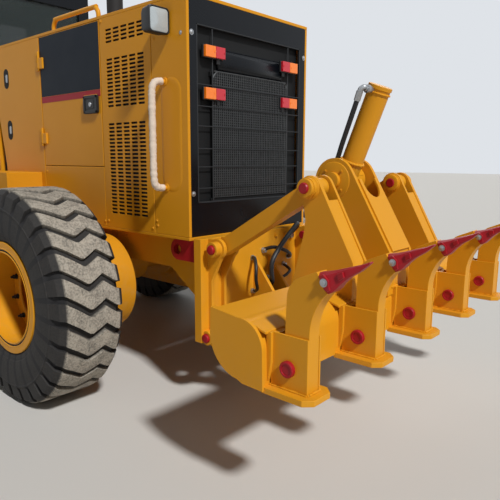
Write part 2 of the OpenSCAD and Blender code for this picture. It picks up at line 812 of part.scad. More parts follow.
// A steering spindle: two ears round the kingpin, the wheel stub and the tie rod's arm
module spindle(side) {
    low = lean_z - 50 - side_fit - 60;
    high = lean_z + 50 + side_fit;
    color(yellow) from_rear_axle() mirror([0, side < 0 ? 1 : 0, 0]) difference() {
        union() {
            for (z = [low, high]) {
                translate([front_axle_x, king_y, z]) cylinder(r = 60, h = 60);
                block([front_axle_x - 50, king_y, z], [front_axle_x + 50, king_y + 110, z + 60]);
            }
            block([front_axle_x - 50, king_y + 70, low], [front_axle_x + 50, king_y + 110, high + 60]);
            bar([front_axle_x, king_y + 100, axle_z],
                [front_axle_x, track / 2 + front_hub_back - pin_fit, axle_z], 60);
            translate([0, 0, low]) linear_extrude(30)
                strap([front_axle_x, king_y], [front_axle_x + steer_arm_x, lean_y], 28);
        }
        translate([front_axle_x, king_y, low - 1]) cylinder(r = king_r + pin_fit, h = 260);
    }
}

module knuckle_left() { knuckle(1); }
module knuckle_right() { knuckle(-1); }
module spindle_left() { spindle(1); }
module spindle_right() { spindle(-1); }

module lean_bar() {
    z = lean_z + lean_lever;
    x = front_axle_x - lean_bar_half;
    color(yellow) from_rear_axle() difference() {
        across(x, x + 2 * lean_bar_half) strap([-lean_y, z], [lean_y, z], 35);
        both_sides() bar([x - 1, lean_y, z], [x + 2 * lean_bar_half + 1, lean_y, z],
            lean_pin_r + pin_fit);
    }
}

module tie_rod() {
    x = front_axle_x + steer_arm_x;
    z = lean_z - 151;
    color(steel) from_rear_axle() union() {
        bar([x, -lean_y, z], [x, lean_y, z], 22);
        both_sides() translate([x, lean_y, z]) sphere(r = 28);
    }
}

// Drawbar, circle and blade
drawbar_z = [940, 1020];
ring_z = [850, 930];
arm_out = 640;
arm_t = 40;
tip_pin = [4085, 330];
tip_r = 58;
rail_x = tip_pin[0] + tip_r + 7;
blade_back = rail_x + 45;
rail_low = [300, 350];
rail_high = [520, 570];

module drawbar_ball() {
    color(steel) from_rear_axle() translate(ball) sphere(r = ball_r);
}

module drawbar() {
    color(yellow) from_rear_axle() difference() {
        union() {
            block([5350, -60, 930], [ball[0] - 30, 60, 1030]);
            translate([0, 0, drawbar_z[0]]) linear_extrude(drawbar_z[1] - drawbar_z[0]) {
                polygon([[5500, 60], [5500, -60], [4700, -640], [4300, -640], [4300, 640], [4700, 640]]);
                translate([circle_x, 0]) circle(circle_r - 60);
            }
            both_sides() block([lift_x - 45, 500, drawbar_z[1]], [lift_x + 45, 620, 1090]);
            translate([circle_x + 480, 0, drawbar_z[1]]) cylinder(r = 120, h = 200);
            block([shift_low[0] + 100, shift_low[1] - 45, drawbar_z[1]],
                [shift_low[0] + 130, shift_low[1] + 30, shift_low[2] + 50]);
            for (a = [45, 135, 225, 315]) translate([circle_x, 0, ring_z[1] + 0.5]) rotate(a)
                translate([circle_r - 130, -60, 0]) cube([70, 120, 30]);
        }
        translate([circle_x, 0, 900]) cylinder(r = 300, h = 200);
        translate(ball) sphere(r = ball_r + 0.5);
    }
}

module circle_ring() {
    color(yellow) from_rear_axle() difference() {
        union() {
            translate([circle_x, 0, ring_z[0]]) difference() {
                cylinder(r = circle_r, h = ring_z[1] - ring_z[0]);
                translate([0, 0, -1]) cylinder(r = circle_r - 110, h = 200);
            }
            both_sides() plate(arm_out - arm_t, arm_out) {
                translate(tip_pin) circle(tip_r);
                polygon([[circle_x - 100, ring_z[0] + 20], [circle_x - 320, ring_z[0] + 20],
                    tip_pin + [-tip_r + 6, 330], tip_pin + [-tip_r + 4, 0],
                    tip_pin + [tip_r - 4, 0], tip_pin + [tip_r - 40, 330]]);
            }
        }
        bar_y(tip_pin, 30 + pin_fit, -arm_out - 1, arm_out + 1);
    }
}

module blade_carriage() {
    inner = arm_out - arm_t - side_fit;
    color(yellow) from_rear_axle() difference() {
        union() {
            bar_y(tip_pin, 45, -inner, inner);
            bar_y(tip_pin, 30, -arm_out, arm_out);
            both_sides() plate(440, 500) {
                translate(tip_pin) circle(tip_r);
                polygon([tip_pin + [-tip_r, 0], tip_pin + [0, -tip_r], [blade_back - 5, 272],
                    [blade_back - 5, 430], [blade_back + 30, 600], [blade_back - 60, 640]]);
            }
        }
        both_sides() for (r = [rail_low, rail_high])
            block([rail_x - side_fit, 430, r[0] - pin_fit],
                [blade_back + 100, 510, r[1] + pin_fit]);
    }
}

module moldboard() {
    z = blade_clear;
    x = blade_back;
    half = blade_len / 2;
    color("#b98a2a") from_rear_axle() union() {
        plate(-half, half)
            polygon([[x + 100, z], [x + 78, z], [x, z + 200], [x, z + 380], [x + 80, z + blade_h],
                [x + 102, z + blade_h], [x + blade_t, z + 380], [x + blade_t, z + 200]]);
        block([rail_x, -1300, rail_low[0]], [x + 10, 1300, rail_low[1]]);
        block([rail_x, -1300, rail_high[0]], [x + 50, 1300, rail_high[1]]);
    }
}

// Lift cylinders and the centre-shift cylinder
lift_low = 1150;
lift_rod_r = 35;
lift_barrel = [1700, 2980];

module lift_cylinder(side) {
    color(yellow) from_rear_axle() mirror([0, side < 0 ? 1 : 0, 0]) difference() {
        union() {
            bar([lift_x, lift_y, lift_barrel[0]], [lift_x, lift_y, lift_barrel[1]], lift_r);
            bar([lift_x - 75, lift_y, lift_pin_z], [lift_x + 75, lift_y, lift_pin_z], 60);
            bar([lift_x - 110, lift_y, lift_pin_z], [lift_x + 110, lift_y, lift_pin_z], lift_pin_r);
        }
        bar([lift_x, lift_y, lift_barrel[0] - 1], [lift_x, lift_y, lift_barrel[1] - 30],
            lift_rod_r + pin_fit);
    }
}

module lift_rod(side) {
    color(steel) from_rear_axle() mirror([0, side < 0 ? 1 : 0, 0]) union() {
        bar([lift_x, lift_y, lift_low], [lift_x, lift_y, 2480], lift_rod_r);
        translate([lift_x, lift_y, lift_low]) sphere(r = 50);
    }
}

module lift_cylinder_left() { lift_cylinder(1); }
module lift_cylinder_right() { lift_cylinder(-1); }
module lift_rod_left() { lift_rod(1); }
module lift_rod_right() { lift_rod(-1); }

shift_top = [4850, -660, 1460];
shift_low = [4850, 480, 1270];
shift_dir = (shift_low - shift_top) / norm(shift_low - shift_top);
shift_barrel = 765;

module shift_cylinder() {
    color(yellow) from_rear_axle() difference() {
        union() {
            bar(shift_top, shift_top + shift_barrel * shift_dir, 50);
            bar(shift_top - [55, 0, 0], shift_top + [55, 0, 0], 60);
            bar(shift_top - [95, 0, 0], shift_top + [95, 0, 0], 25);
        }
        bar(shift_top + 40 * shift_dir, shift_top + (shift_barrel + 1) * shift_dir, 28 + pin_fit);
    }
}

module shift_rod() {
    color(steel) from_rear_axle() union() {
        bar(shift_top + 380 * shift_dir, shift_low, 28);
        bar(shift_low - [20, 0, 0], shift_low + [20, 0, 0], 50);
    }
}

rear_frame();
tandems();
engine();
hood_top();
side_panels();
rear_panel();
rear_lights();
grab_handles();
hood_stacks();
ripper_mount();
tow_lugs();
engine_door_left();
engine_door_right();
tyre_rear_left();
tyre_rear_right();
tyre_mid_left();
tyre_mid_right();
tyre_front_left();
tyre_front_right();
rim_rear_left();
rim_rear_right();
rim_mid_left();
rim_mid_right();
rim_front_left();
rim_front_right();
ripper_arms();
ripper_links();
ripper_beam();
ripper_shanks();
ripper_teeth();
ripper_cylinder();
ripper_rod();
front_frame();
cab_frame();
cab_glass();
cab_door_left();
cab_door_right();
door_glass_left();
door_glass_right();
cab_interior();
headlamps();
front_axle();
knuckle_left();
knuckle_right();
spindle_left();
spindle_right();
lean_bar();
tie_rod();
drawbar_ball();
drawbar();
circle_ring();
blade_carriage();
moldboard();
lift_cylinder_left();
lift_cylinder_right();
lift_rod_left();
lift_rod_right();
shift_cylinder();
shift_rod();
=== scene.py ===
"""Looks for a motor grader with a rear ripper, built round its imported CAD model."""

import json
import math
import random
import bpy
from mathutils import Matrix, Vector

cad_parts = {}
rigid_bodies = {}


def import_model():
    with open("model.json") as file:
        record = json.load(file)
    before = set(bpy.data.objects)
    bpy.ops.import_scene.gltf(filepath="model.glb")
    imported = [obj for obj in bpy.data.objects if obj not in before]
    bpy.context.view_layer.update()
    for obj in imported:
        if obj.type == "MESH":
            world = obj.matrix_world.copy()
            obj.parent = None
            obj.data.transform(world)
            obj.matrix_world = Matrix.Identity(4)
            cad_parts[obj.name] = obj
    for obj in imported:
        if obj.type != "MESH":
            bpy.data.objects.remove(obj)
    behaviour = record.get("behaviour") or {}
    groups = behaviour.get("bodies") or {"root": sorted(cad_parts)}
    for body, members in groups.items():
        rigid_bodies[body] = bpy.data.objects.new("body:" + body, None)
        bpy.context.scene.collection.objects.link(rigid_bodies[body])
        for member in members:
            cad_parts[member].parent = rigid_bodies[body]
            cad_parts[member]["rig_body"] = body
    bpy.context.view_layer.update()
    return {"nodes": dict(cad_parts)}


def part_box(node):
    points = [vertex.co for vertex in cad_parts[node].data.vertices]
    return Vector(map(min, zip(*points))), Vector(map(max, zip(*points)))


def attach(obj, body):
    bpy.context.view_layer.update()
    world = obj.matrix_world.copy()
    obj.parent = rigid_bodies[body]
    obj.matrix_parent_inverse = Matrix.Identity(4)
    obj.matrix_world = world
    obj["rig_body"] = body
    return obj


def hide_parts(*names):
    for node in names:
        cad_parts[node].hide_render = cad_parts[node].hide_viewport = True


bl_info = {
    "name": "Motor Grader Looks",
    "version": (1, 0, 0),
    "blender": (4, 5, 0),
    "location": "View3D > Sidebar > Grader",
    "description": "Dresses the packed grader with rounded edges, paint, rubber, lamps and grilles",
    "category": "Object",
}

import bmesh
import bpy
from mathutils import Matrix, Vector

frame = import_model()

# Lengths in the helpers are millimetres from the ground under the rear tandem axle.
REAR_AXLE_X = -2660.0


def at(x, y, z):
    """A place given in millimetres from the rear axle, in the frame's metres."""
    return Vector(((x + REAR_AXLE_X) / 1000.0, y / 1000.0, z / 1000.0))


def linear(code):
    """An sRGB hex colour as the linear RGBA that a shader socket takes."""
    parts = [int(code[i:i + 2], 16) / 255.0 for i in (1, 3, 5)]
    out = [c / 12.92 if c <= 0.04045 else ((c + 0.055) / 1.055) ** 2.4 for c in parts]
    return (out[0], out[1], out[2], 1.0)


def set_sockets(made, **values):
    """Sets a node's own values; an underscore stands for a space in a socket's name."""
    for key, value in values.items():
        made.inputs[key.replace("_", " ")].default_value = value


def add_node(tree, kind, links=(), **settings):
    """Adds a node, sets its properties and sockets, and links (socket, from_output) pairs."""
    made = tree.nodes.new(kind)
    for key, value in settings.items():
        if hasattr(made, key):
            setattr(made, key, value)
        else:
            set_sockets(made, **{key: value})
    for socket, output in links:
        tree.links.new(output, made.inputs[socket])
    return made


def new_material(name):
    """A node material with its Principled shader, and the output of its object coordinates."""
    material = bpy.data.materials.new(name)
    material.use_nodes = True
    tree = material.node_tree
    tree.nodes.clear()
    shader = add_node(tree, "ShaderNodeBsdfPrincipled")
    add_node(tree, "ShaderNodeOutputMaterial", [("Surface", shader.outputs["BSDF"])])
    return material, tree, shader, add_node(tree, "ShaderNodeTexCoord").outputs["Object"]


def noise(tree, place, scale, detail, **settings):
    """Cloudy change of value, with scale in cycles a metre."""
    made = add_node(tree, "ShaderNodeTexNoise", [("Vector", place)], Scale=scale, Detail=detail, **settings)
    return made.outputs["Fac"]


def remap(tree, value, **settings):
    """A value moved from one range to another."""
    return add_node(tree, "ShaderNodeMapRange", [("Value", value)], **settings).outputs[0]


def combine(tree, operation, first, second):
    """Two values added, multiplied or compared."""
    return add_node(tree, "ShaderNodeMath", [(0, first), (1, second)], operation=operation).outputs[0]


def blend(tree, factor, first, second):
    """Mixes a colour or another node's colour with a second colour."""
    mix = add_node(tree, "ShaderNodeMix", [("Factor", factor)], data_type="RGBA")
    if isinstance(first, tuple):
        mix.inputs[6].default_value = first
    else:
        tree.links.new(first, mix.inputs[6])
    mix.inputs[7].default_value = second
    return mix.outputs[2]


def add_bump(tree, shader, height, strength, distance_mm):
    """Fine relief on a shader, deep in millimetres."""
    bump = add_node(tree, "ShaderNodeBump", [("Height", height)], Strength=strength,
                    Distance=distance_mm / 1000.0)
    tree.links.new(bump.outputs[0], shader.inputs["Normal"])


def sprayed_enamel(name, paint, shade, rough, dust, dust_top):
    """Two-pack enamel sprayed on plate: a soft orange peel, thicker and duller near the ground."""
    material, tree, shader, place = new_material(name)
    # Cloudy film thickness, about 400 mm across
    cloud = noise(tree, place, 2.5, 3.0)
    tone = blend(tree, cloud, linear(paint), linear(shade))
    # Road dust, in patches about 60 mm across, fading upwards
    height = add_node(tree, "ShaderNodeSeparateXYZ", [("Vector", place)]).outputs["Z"]
    low = remap(tree, height, From_Min=0.0, From_Max=dust_top / 1000.0, To_Min=1.0, To_Max=0.0)
    patchy = remap(tree, noise(tree, place, 16.0, 6.0, Roughness=0.65),
                   From_Min=0.45, From_Max=0.75, To_Max=dust)
    film = combine(tree, "MULTIPLY", low, patchy)
    tree.links.new(blend(tree, film, tone, linear("#a89a80")), shader.inputs["Base Color"])
    # Gloss varies with the film
    gloss = remap(tree, cloud, To_Min=rough, To_Max=rough + 0.12)
    tree.links.new(gloss, shader.inputs["Roughness"])
    set_sockets(shader, Specular_IOR_Level=0.18, Coat_Weight=0.04, Coat_Roughness=0.12)
    # Orange peel is 2 mm wide on the real paint, drawn 9 mm wide so that it shows
    add_bump(tree, shader, noise(tree, place, 110.0, 2.0), 0.06, 2.0)
    return material


def vulcanised_rubber(name, rubber, dust, tread_from, tread_to):
    """Tyre rubber: dark and faintly brown on the sidewall, rubbed pale with stone dust on the lugs."""
    material, tree, shader, place = new_material(name)
    worn = add_node(tree, "ShaderNodeAttribute", attribute_name="tread").outputs["Fac"]
    # Stone dust lies in grains and smears 20 to 80 mm across
    grain = noise(tree, place, 90.0, 4.0)
    both = combine(tree, "ADD", noise(tree, place, 14.0, 8.0, Roughness=0.7), grain)
    spread = remap(tree, both, From_Min=0.72, From_Max=1.15, To_Min=tread_from, To_Max=tread_to)
    tone = blend(tree, combine(tree, "MULTIPLY", spread, worn), linear(rubber), linear(dust))
    tree.links.new(tone, shader.inputs["Base Color"])
    set_sockets(shader, Roughness=0.78, Specular_IOR_Level=0.35)
    add_bump(tree, shader, grain, 0.35, 2.0)
    return material


def plain_finish(name, colour, rough, metallic=0.0, grain_mm=30.0, change=0.35, bump_mm=0.0,
                 coat=0.0, alpha=1.0, glow=0.0, shine=0.5):
    """A surface with a little change of tone and gloss at one real grain size."""
    material, tree, shader, place = new_material(name)
    grain = noise(tree, place, 1000.0 / grain_mm, 5.0, Roughness=0.6)
    base = linear(colour)
    tone = blend(tree, grain, tuple(c * (1.0 - change * 0.5) for c in base[:3]) + (1.0,),
                 tuple(min(1.0, c * (1.0 + change * 0.5)) for c in base[:3]) + (1.0,))
    tree.links.new(tone, shader.inputs["Base Color"])
    gloss = remap(tree, grain, To_Min=max(0.02, rough - 0.08), To_Max=min(1.0, rough + 0.1))
    tree.links.new(gloss, shader.inputs["Roughness"])
    set_sockets(shader, Metallic=metallic, Specular_IOR_Level=shine, Coat_Weight=coat, Alpha=alpha)
    if glow:
        set_sockets(shader, Emission_Color=base, Emission_Strength=glow)
    if bump_mm:
        add_bump(tree, shader, grain, 0.5, bump_mm)
    return material


# The machine's paint: name, shaded tone, roughness, dust, and how high the dust reaches in millimetres
ENAMELS = {
    "panel_enamel": ("Sprayed Enamel On Panels", "#d38e1c", 0.3, 0.12, 1300.0),
    "plate_enamel": ("Sprayed Enamel On Thick Plate", "#d5931f", 0.38, 0.2, 900.0),
    "chassis_enamel": ("Sprayed Enamel On Chassis", "#c88619", 0.46, 0.4, 1000.0),
}
# Other finishes: name, sRGB colour ("red" is the user's own), roughness and what sets each apart to the eye
PLAIN = {
    # Deep gloss black that mirrors the floor softly
    "black_enamel": ("Black Gloss Enamel", "#080b10", 0.25, dict(grain_mm=300.0, shine=0.25)),
    # Brushed-on red with faint ridges
    "red_enamel": ("Deep Red Enamel", "red", 0.38, dict(grain_mm=40.0, bump_mm=0.4, shine=0.3)),
    # Grey-black wire with a dull sheen, and bare wire that catches light unevenly
    "screen_wire": ("Powder Coated Screen", "#26282a", 0.55, dict(metallic=0.3, grain_mm=12.0, change=0.6)),
    "bright_wire": ("Galvanised Screen Wire", "#47494a", 0.55,
                    dict(metallic=0.4, grain_mm=25.0, change=1.2)),
    # Nearly black, so that the screen stands out in front of it
    "cooler_core": ("Cooler Core Behind The Screen", "#0c0d0e", 0.7, dict(metallic=0.4, grain_mm=6.0)),
    # Rough dark casting
    "soot_black": ("Soot Black Cast Iron", "#1b1b1c", 0.7, dict(metallic=0.2, grain_mm=8.0, bump_mm=1.0)),
    # Mirror-bright rods, then steel scoured dull by gravel, then greyish plating
    "chrome": ("Hard Chrome On Rods", "#cfd2d4", 0.12, dict(metallic=1.0, grain_mm=40.0, change=0.1)),
    "worn_steel": ("Scoured Steel", "#8c8984", 0.42,
                   dict(metallic=0.9, grain_mm=18.0, change=0.5, bump_mm=0.6)),
    "zinc": ("Zinc Plated Steel", "#a9abad", 0.35, dict(metallic=0.9, grain_mm=6.0)),
    # Fine-grained matt plastic
    "black_plastic": ("Moulded Black Plastic", "#16181a", 0.5, dict(grain_mm=3.0, bump_mm=0.3)),
    # Flat films on the engine doors
    "charcoal": ("Charcoal Film On The Door", "#101822", 0.55, dict(grain_mm=200.0, change=0.2, shine=0.2)),
    "band_red": ("Red Film On The Door", "red", 0.4, dict(grain_mm=200.0, change=0.2, shine=0.25)),
    # Soft lumpy white
    "foam_wrap": ("White Foam Wrap", "#d9c9b8", 0.92, dict(grain_mm=14.0, change=0.35, bump_mm=4.0)),
    # Black rubber with a fine braid
    "hose_rubber": ("Braided Hose Rubber", "#17181a", 0.48, dict(grain_mm=5.0, bump_mm=0.5)),
    # Coloured lenses with a faint glow of their own
    "amber_lens": ("Amber Lens", "#f07a12", 0.18, dict(grain_mm=14.0, change=0.3, coat=0.6, glow=0.12)),
    "red_lens": ("Red Lens", "#c01426", 0.18, dict(grain_mm=14.0, change=0.3, coat=0.6, glow=0.1)),
    "lamp_glass": ("Ribbed Lamp Glass", "#b4bdc0", 0.15, dict(metallic=0.1, grain_mm=10.0, change=0.25)),
    # Dark glass that the far windows show through
    "cab_glass": ("Tinted Toughened Glass", "#26312f", 0.05, dict(grain_mm=500.0, change=0.1, alpha=0.6)),
    # Flat black for the painted shade inside openings, slots and gaps
    "painted_shade_black": ("Shadowed Opening", "#060606", 0.9, dict(grain_mm=20.0)),
}
# Materials made so far
MATERIALS = {}


def finish(name):
    """Makes each material once, the first time that a piece asks for it."""
    if name not in MATERIALS:
        look = bpy.context.scene.grader_looks
        if name == "tyre_rubber":
            made = vulcanised_rubber("Vulcanised Tyre Rubber", "#1c1b1c", "#aaa294", 0.3, 0.95)
        elif name in ENAMELS:
            title, *settings = ENAMELS[name]
            made = sprayed_enamel(title, look.paint, *settings)
        else:
            title, colour, rough, settings = PLAIN[name]
            made = plain_finish(title, look.red if colour == "red" else colour, rough, **settings)
        MATERIALS[name] = made
    return MATERIALS[name]


def make_object(name, bm, material, smooth=30.0):
    """Turns a bmesh into an object, smooth across angles under the given degrees."""
    bmesh.ops.recalc_face_normals(bm, faces=bm.faces)
    mesh = bpy.data.meshes.new(name)
    bm.to_mesh(mesh)
    bm.free()
    made = bpy.data.objects.new(name, mesh)
    bpy.context.scene.collection.objects.link(made)
    mesh.materials.append(finish(material) if isinstance(material, str) else material)
    mesh.shade_smooth()
    mesh.set_sharp_from_angle(angle=math.radians(smooth))
    return made


def bevel(piece, width_mm, segments=2, angle=35.0):
    """Rounds the piece's edges and applies the rounding."""
    modifier = piece.modifiers.new("edges", "BEVEL")
    modifier.width = width_mm / 1000.0
    modifier.segments = segments
    modifier.limit_method = "ANGLE"
    modifier.angle_limit = math.radians(angle)
    modifier.use_clamp_overlap = False
    graph = bpy.context.evaluated_depsgraph_get()
    rounded = bpy.data.meshes.new_from_object(piece.evaluated_get(graph))
    piece.modifiers.clear()
    piece.data = rounded
    rounded.shade_smooth()
    rounded.set_sharp_from_angle(angle=math.radians(38.0))
    # Large faces keep their own direction, and only the rounding bends the light
    weighted = piece.modifiers.new("normals", "WEIGHTED_NORMAL")
    weighted.keep_sharp = True
    weighted.weight = 90
    graph = bpy.context.evaluated_depsgraph_get()
    piece.data = bpy.data.meshes.new_from_object(piece.evaluated_get(graph))
    piece.modifiers.clear()
    return piece


def settle(piece, body, replaced=()):
    """Puts a finished piece on its body and the nodes that it stands for."""
    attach(piece, body)
    if replaced:
        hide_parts(*replaced)
    return piece


def put(bm, name, material, body, nodes=(), mirror=False, edge=(), smooth=30.0):
    """Finishes and settles a piece: mirror adds the far side, edge gives bevel's own settings."""
    if mirror:
        add_mirror(bm)
    piece = make_object(name, bm, material, smooth)
    if edge:
        bevel(piece, *edge)
    return settle(piece, body, nodes)


def dress(node, material, width_mm=3.0, upper=None, keep_below=None):
    """A copy of a CAD node with its flat faces joined and its edges rounded, in its place.

    upper gives a height in millimetres and the finish above it, keep_below a height to cut at."""
    source = frame["nodes"][node]
    bm = bmesh.new()
    bm.from_mesh(source.data)
    bmesh.ops.remove_doubles(bm, verts=bm.verts, dist=1e-5)
    bmesh.ops.dissolve_limit(bm, angle_limit=math.radians(1.0), verts=bm.verts, edges=bm.edges)
    if keep_below:
        high = [vert for vert in bm.verts if vert.co.z > keep_below / 1000.0]
        bmesh.ops.delete(bm, geom=high, context="VERTS")
    if upper:
        bmesh.ops.bisect_plane(bm, geom=bm.verts[:] + bm.edges[:] + bm.faces[:],
                               plane_co=(0.0, 0.0, upper[0] / 1000.0), plane_no=(0.0, 0.0, 1.0))
    piece = make_object(node + "_dressed", bm, material)
    if width_mm:
        bevel(piece, width_mm)
    if upper:
        piece.data.materials.append(finish(upper[1]))
        for face in piece.data.polygons:
            if face.center.z > upper[0] / 1000.0:
                face.material_index = 1
    return settle(piece, source["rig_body"], [node])


def box_in(bm, a, b):
    """A box between two corners in millimetres."""
    low, high = at(*a), at(*b)
    corners = [(low[0] if i & 4 == 0 else high[0], low[1] if i & 2 == 0 else high[1],
                low[2] if i & 1 == 0 else high[2]) for i in range(8)]
    v = [bm.verts.new(c) for c in corners]
    for face in ((0, 1, 3, 2), (4, 6, 7, 5), (0, 4, 5, 1), (2, 3, 7, 6), (0, 2, 6, 4), (1, 5, 7, 3)):
        bm.faces.new([v[i] for i in face])


def turned_in(bm, start, axis, profile, steps=32):
    """A body turned about an axis: profile holds (distance along, radius) pairs in millimetres.

    A profile that ends where it starts makes a ring with an open middle."""
    closed = profile[0] == profile[-1]
    if closed:
        profile = profile[:-1]
    axis = Vector(axis).normalized()
    side = axis.orthogonal().normalized()
    other = axis.cross(side)
    origin = at(*start)
    rings = []
    for along, radius in profile:
        centre = origin + axis * along / 1000.0
        if radius < 1e-6:
            rings.append([bm.verts.new(centre)])
            continue
        rings.append([bm.verts.new(centre + (side * math.cos(t) + other * math.sin(t)) * radius / 1000.0)
                      for t in (2.0 * math.pi * k / steps for k in range(steps))])
    for a, b in zip(rings, rings[1:] + (rings[:1] if closed else [])):
        for k in range(steps):
            n = (k + 1) % steps
            if len(a) == 1 and len(b) == 1:
                continue
            if len(a) == 1:
                bm.faces.new((a[0], b[k], b[n]))
            elif len(b) == 1:
                bm.faces.new((a[k], b[0], a[n]))
            else:
                bm.faces.new((a[k], b[k], b[n], a[n]))
    for ring, turn in () if closed else ((rings[0], 1), (rings[-1], -1)):
        if len(ring) > 1:
            bm.faces.new(ring[::turn])


def close_sides(bm, near, far):
    """The two ends and the sides of a straight solid between two like outlines."""
    bm.faces.new(near)
    bm.faces.new(far[::-1])
    for k in range(len(near)):
        n = (k + 1) % len(near)
        bm.faces.new((near[n], near[k], far[k], far[n]))


def bridge(bm, rings, closed=False):
    """Faces between rings that have as many corners each; closed joins the last to the first."""
    for a, b in zip(rings, rings[1:] + (rings[:1] if closed else [])):
        for k in range(len(a)):
            n = (k + 1) % len(a)
            bm.faces.new((a[k], a[n], b[n], b[k]))


def prism_in(bm, outline, y0, y1):
    """An outline of x and z in millimetres, between two widths."""
    close_sides(bm, *([bm.verts.new(at(x, y, z)) for x, z in outline] for y in (y0, y1)))


def arc(centre, radius, start, end, steps=10):
    """Points of x and z round a centre, between two angles in degrees."""
    turns = [math.radians(start + (end - start) * k / steps) for k in range(steps + 1)]
    return [(centre[0] + radius * math.cos(t), centre[1] + radius * math.sin(t)) for t in turns]


def slab_in(bm, corner, run, rise, outline, thick):
    """A flat sheet: outline points lie along run and rise from a corner, all in millimetres."""
    run, rise = Vector(run).normalized(), Vector(rise).normalized()
    depth = run.cross(rise) * thick / 1000.0
    near = [bm.verts.new(at(*corner) + (run * u + rise * v) / 1000.0) for u, v in outline]
    close_sides(bm, near, [bm.verts.new(vert.co + depth) for vert in near])


def ring_in(bm, centre, axis, radius, thick, steps=64, rough=0.0, seed=1):
    """A round bar bent into a ring about an axis, uneven where rough is above nought."""
    chance = random.Random(seed)
    axis = Vector(axis).normalized()
    side = axis.orthogonal().normalized()
    other = axis.cross(side)
    origin = at(*centre)
    rings = []
    for k in range(steps):
        t = 2.0 * math.pi * k / steps
        out = side * math.cos(t) + other * math.sin(t)
        size = thick * (1.0 + rough * chance.uniform(-1.0, 1.0))
        section = [(radius + size * math.cos(a), size * math.sin(a))
                   for a in (math.pi * j / 4.0 for j in range(8))]
        rings.append([bm.verts.new(origin + (out * u + axis * v) / 1000.0) for u, v in section])
    bridge(bm, rings, closed=True)


def holed_in(bm, outline, centre, radius, y0, y1, steps=48):
    """A plate between two widths, with a round hole and its outline seen from the hole's centre."""
    hole, edge = [], []
    for k in range(steps):
        t = 2.0 * math.pi * k / steps
        dx, dz = math.cos(t), math.sin(t)
        reach = 0.0
        for (ax, az), (bx, bz) in zip(outline, outline[1:] + outline[:1]):
            across = dx * (bz - az) - dz * (bx - ax)
            if abs(across) < 1e-9:
                continue
            far = ((ax - centre[0]) * (bz - az) - (az - centre[1]) * (bx - ax)) / across
            share = ((ax - centre[0]) * dz - (az - centre[1]) * dx) / across
            if far > 0.0 and -1e-6 <= share <= 1.000001:
                reach = max(reach, far)
        hole.append((centre[0] + dx * radius, centre[1] + dz * radius))
        edge.append((centre[0] + dx * reach, centre[1] + dz * reach))
    bridge(bm, [[bm.verts.new(at(x, y, z)) for x, z in points]
                for points, y in ((edge, y0), (edge, y1), (hole, y1), (hole, y0))], closed=True)


def add_mirror(bm):
    """Adds the machine's other side: the same faces mirrored across its middle."""
    copied = bmesh.ops.duplicate(bm, geom=bm.verts[:] + bm.edges[:] + bm.faces[:])["geom"]
    for vert in (part for part in copied if isinstance(part, bmesh.types.BMVert)):
        vert.co.y = -vert.co.y
    bmesh.ops.reverse_faces(bm, faces=[p for p in copied if isinstance(p, bmesh.types.BMFace)])


def flip_side(bm):
    """Moves everything in a bmesh to the machine's right side."""
    for vert in bm.verts:
        vert.co.y = -vert.co.y
    bmesh.ops.reverse_faces(bm, faces=bm.faces[:])


def tube_in(bm, points, radius, steps=12, wobble=0.0, seed=1):
    """A tube in millimetres along a smooth line through points."""
    chance = random.Random(seed)
    places = [at(*p) for p in points]
    smooth = []
    count = len(places)
    for i in range(count - 1):
        p0, p1 = places[max(i - 1, 0)], places[i]
        p2, p3 = places[i + 1], places[min(i + 2, count - 1)]
        for j in range(6):
            t = j / 6.0
            smooth.append(0.5 * ((2.0 * p1) + (p2 - p0) * t + (2.0 * p0 - 5.0 * p1 + 4.0 * p2 - p3) * t ** 2
                                 + (3.0 * p1 - p0 - 3.0 * p2 + p3) * t ** 3))
    smooth.append(places[-1])
    rings = []
    side = None
    for i, place in enumerate(smooth):
        ahead = (smooth[min(i + 1, len(smooth) - 1)] - smooth[max(i - 1, 0)]).normalized()
        if side is None:
            side = ahead.orthogonal().normalized()
        side = (side - ahead * side.dot(ahead)).normalized()
        other = ahead.cross(side)
        size = radius * (1.0 + wobble * chance.uniform(-1.0, 1.0)) / 1000.0
        rings.append([bm.verts.new(place + (side * math.cos(a) + other * math.sin(a)) * size
                                   * (1.0 + wobble * 0.5 * chance.uniform(-1.0, 1.0)))
                      for a in (2.0 * math.pi * k / steps for k in range(steps))])
    bridge(bm, rings)
    bm.faces.new(rings[0][::-1])
    bm.faces.new(rings[-1])


def stadium(centre, reach, radius, upright=True, steps=10):
    """An outline with two round ends, as x and z pairs."""
    outline = []
    for k in range(2 * steps):
        a = math.pi * (k + 0.5) / steps
        dx, dz = radius * math.cos(a), radius * math.sin(a)
        if upright:
            outline.append((centre[0] + dx, centre[1] + dz + (reach if dz > 0 else -reach)))
        else:
            outline.append((centre[0] + dx + (reach if dx > 0 else -reach), centre[1] + dz))
    return outline


def screws_in(bm, places, axis, radius):
    """Dome-headed screws with a washer under each."""
    for place in places:
        turned_in(bm, place, axis, ((-1, radius * 1.5), (1.2, radius * 1.5), (1.4, radius),
                                    (radius * 0.35, radius * 0.92), (radius * 0.6, radius * 0.5),
                                    (radius * 0.68, 0)), 14)


def hex_bolt_in(bm, place, axis, radius):
    """A hexagon bolt head on its washer."""
    turned_in(bm, place, axis, ((-1, radius * 1.35), (radius * 0.2, radius * 1.35), (radius * 0.22, 0)), 18)
    turned_in(bm, place, axis, ((0, radius), (radius * 0.75, radius), (radius * 0.85, radius * 0.8),
                                (radius * 0.85, 0)), 6)


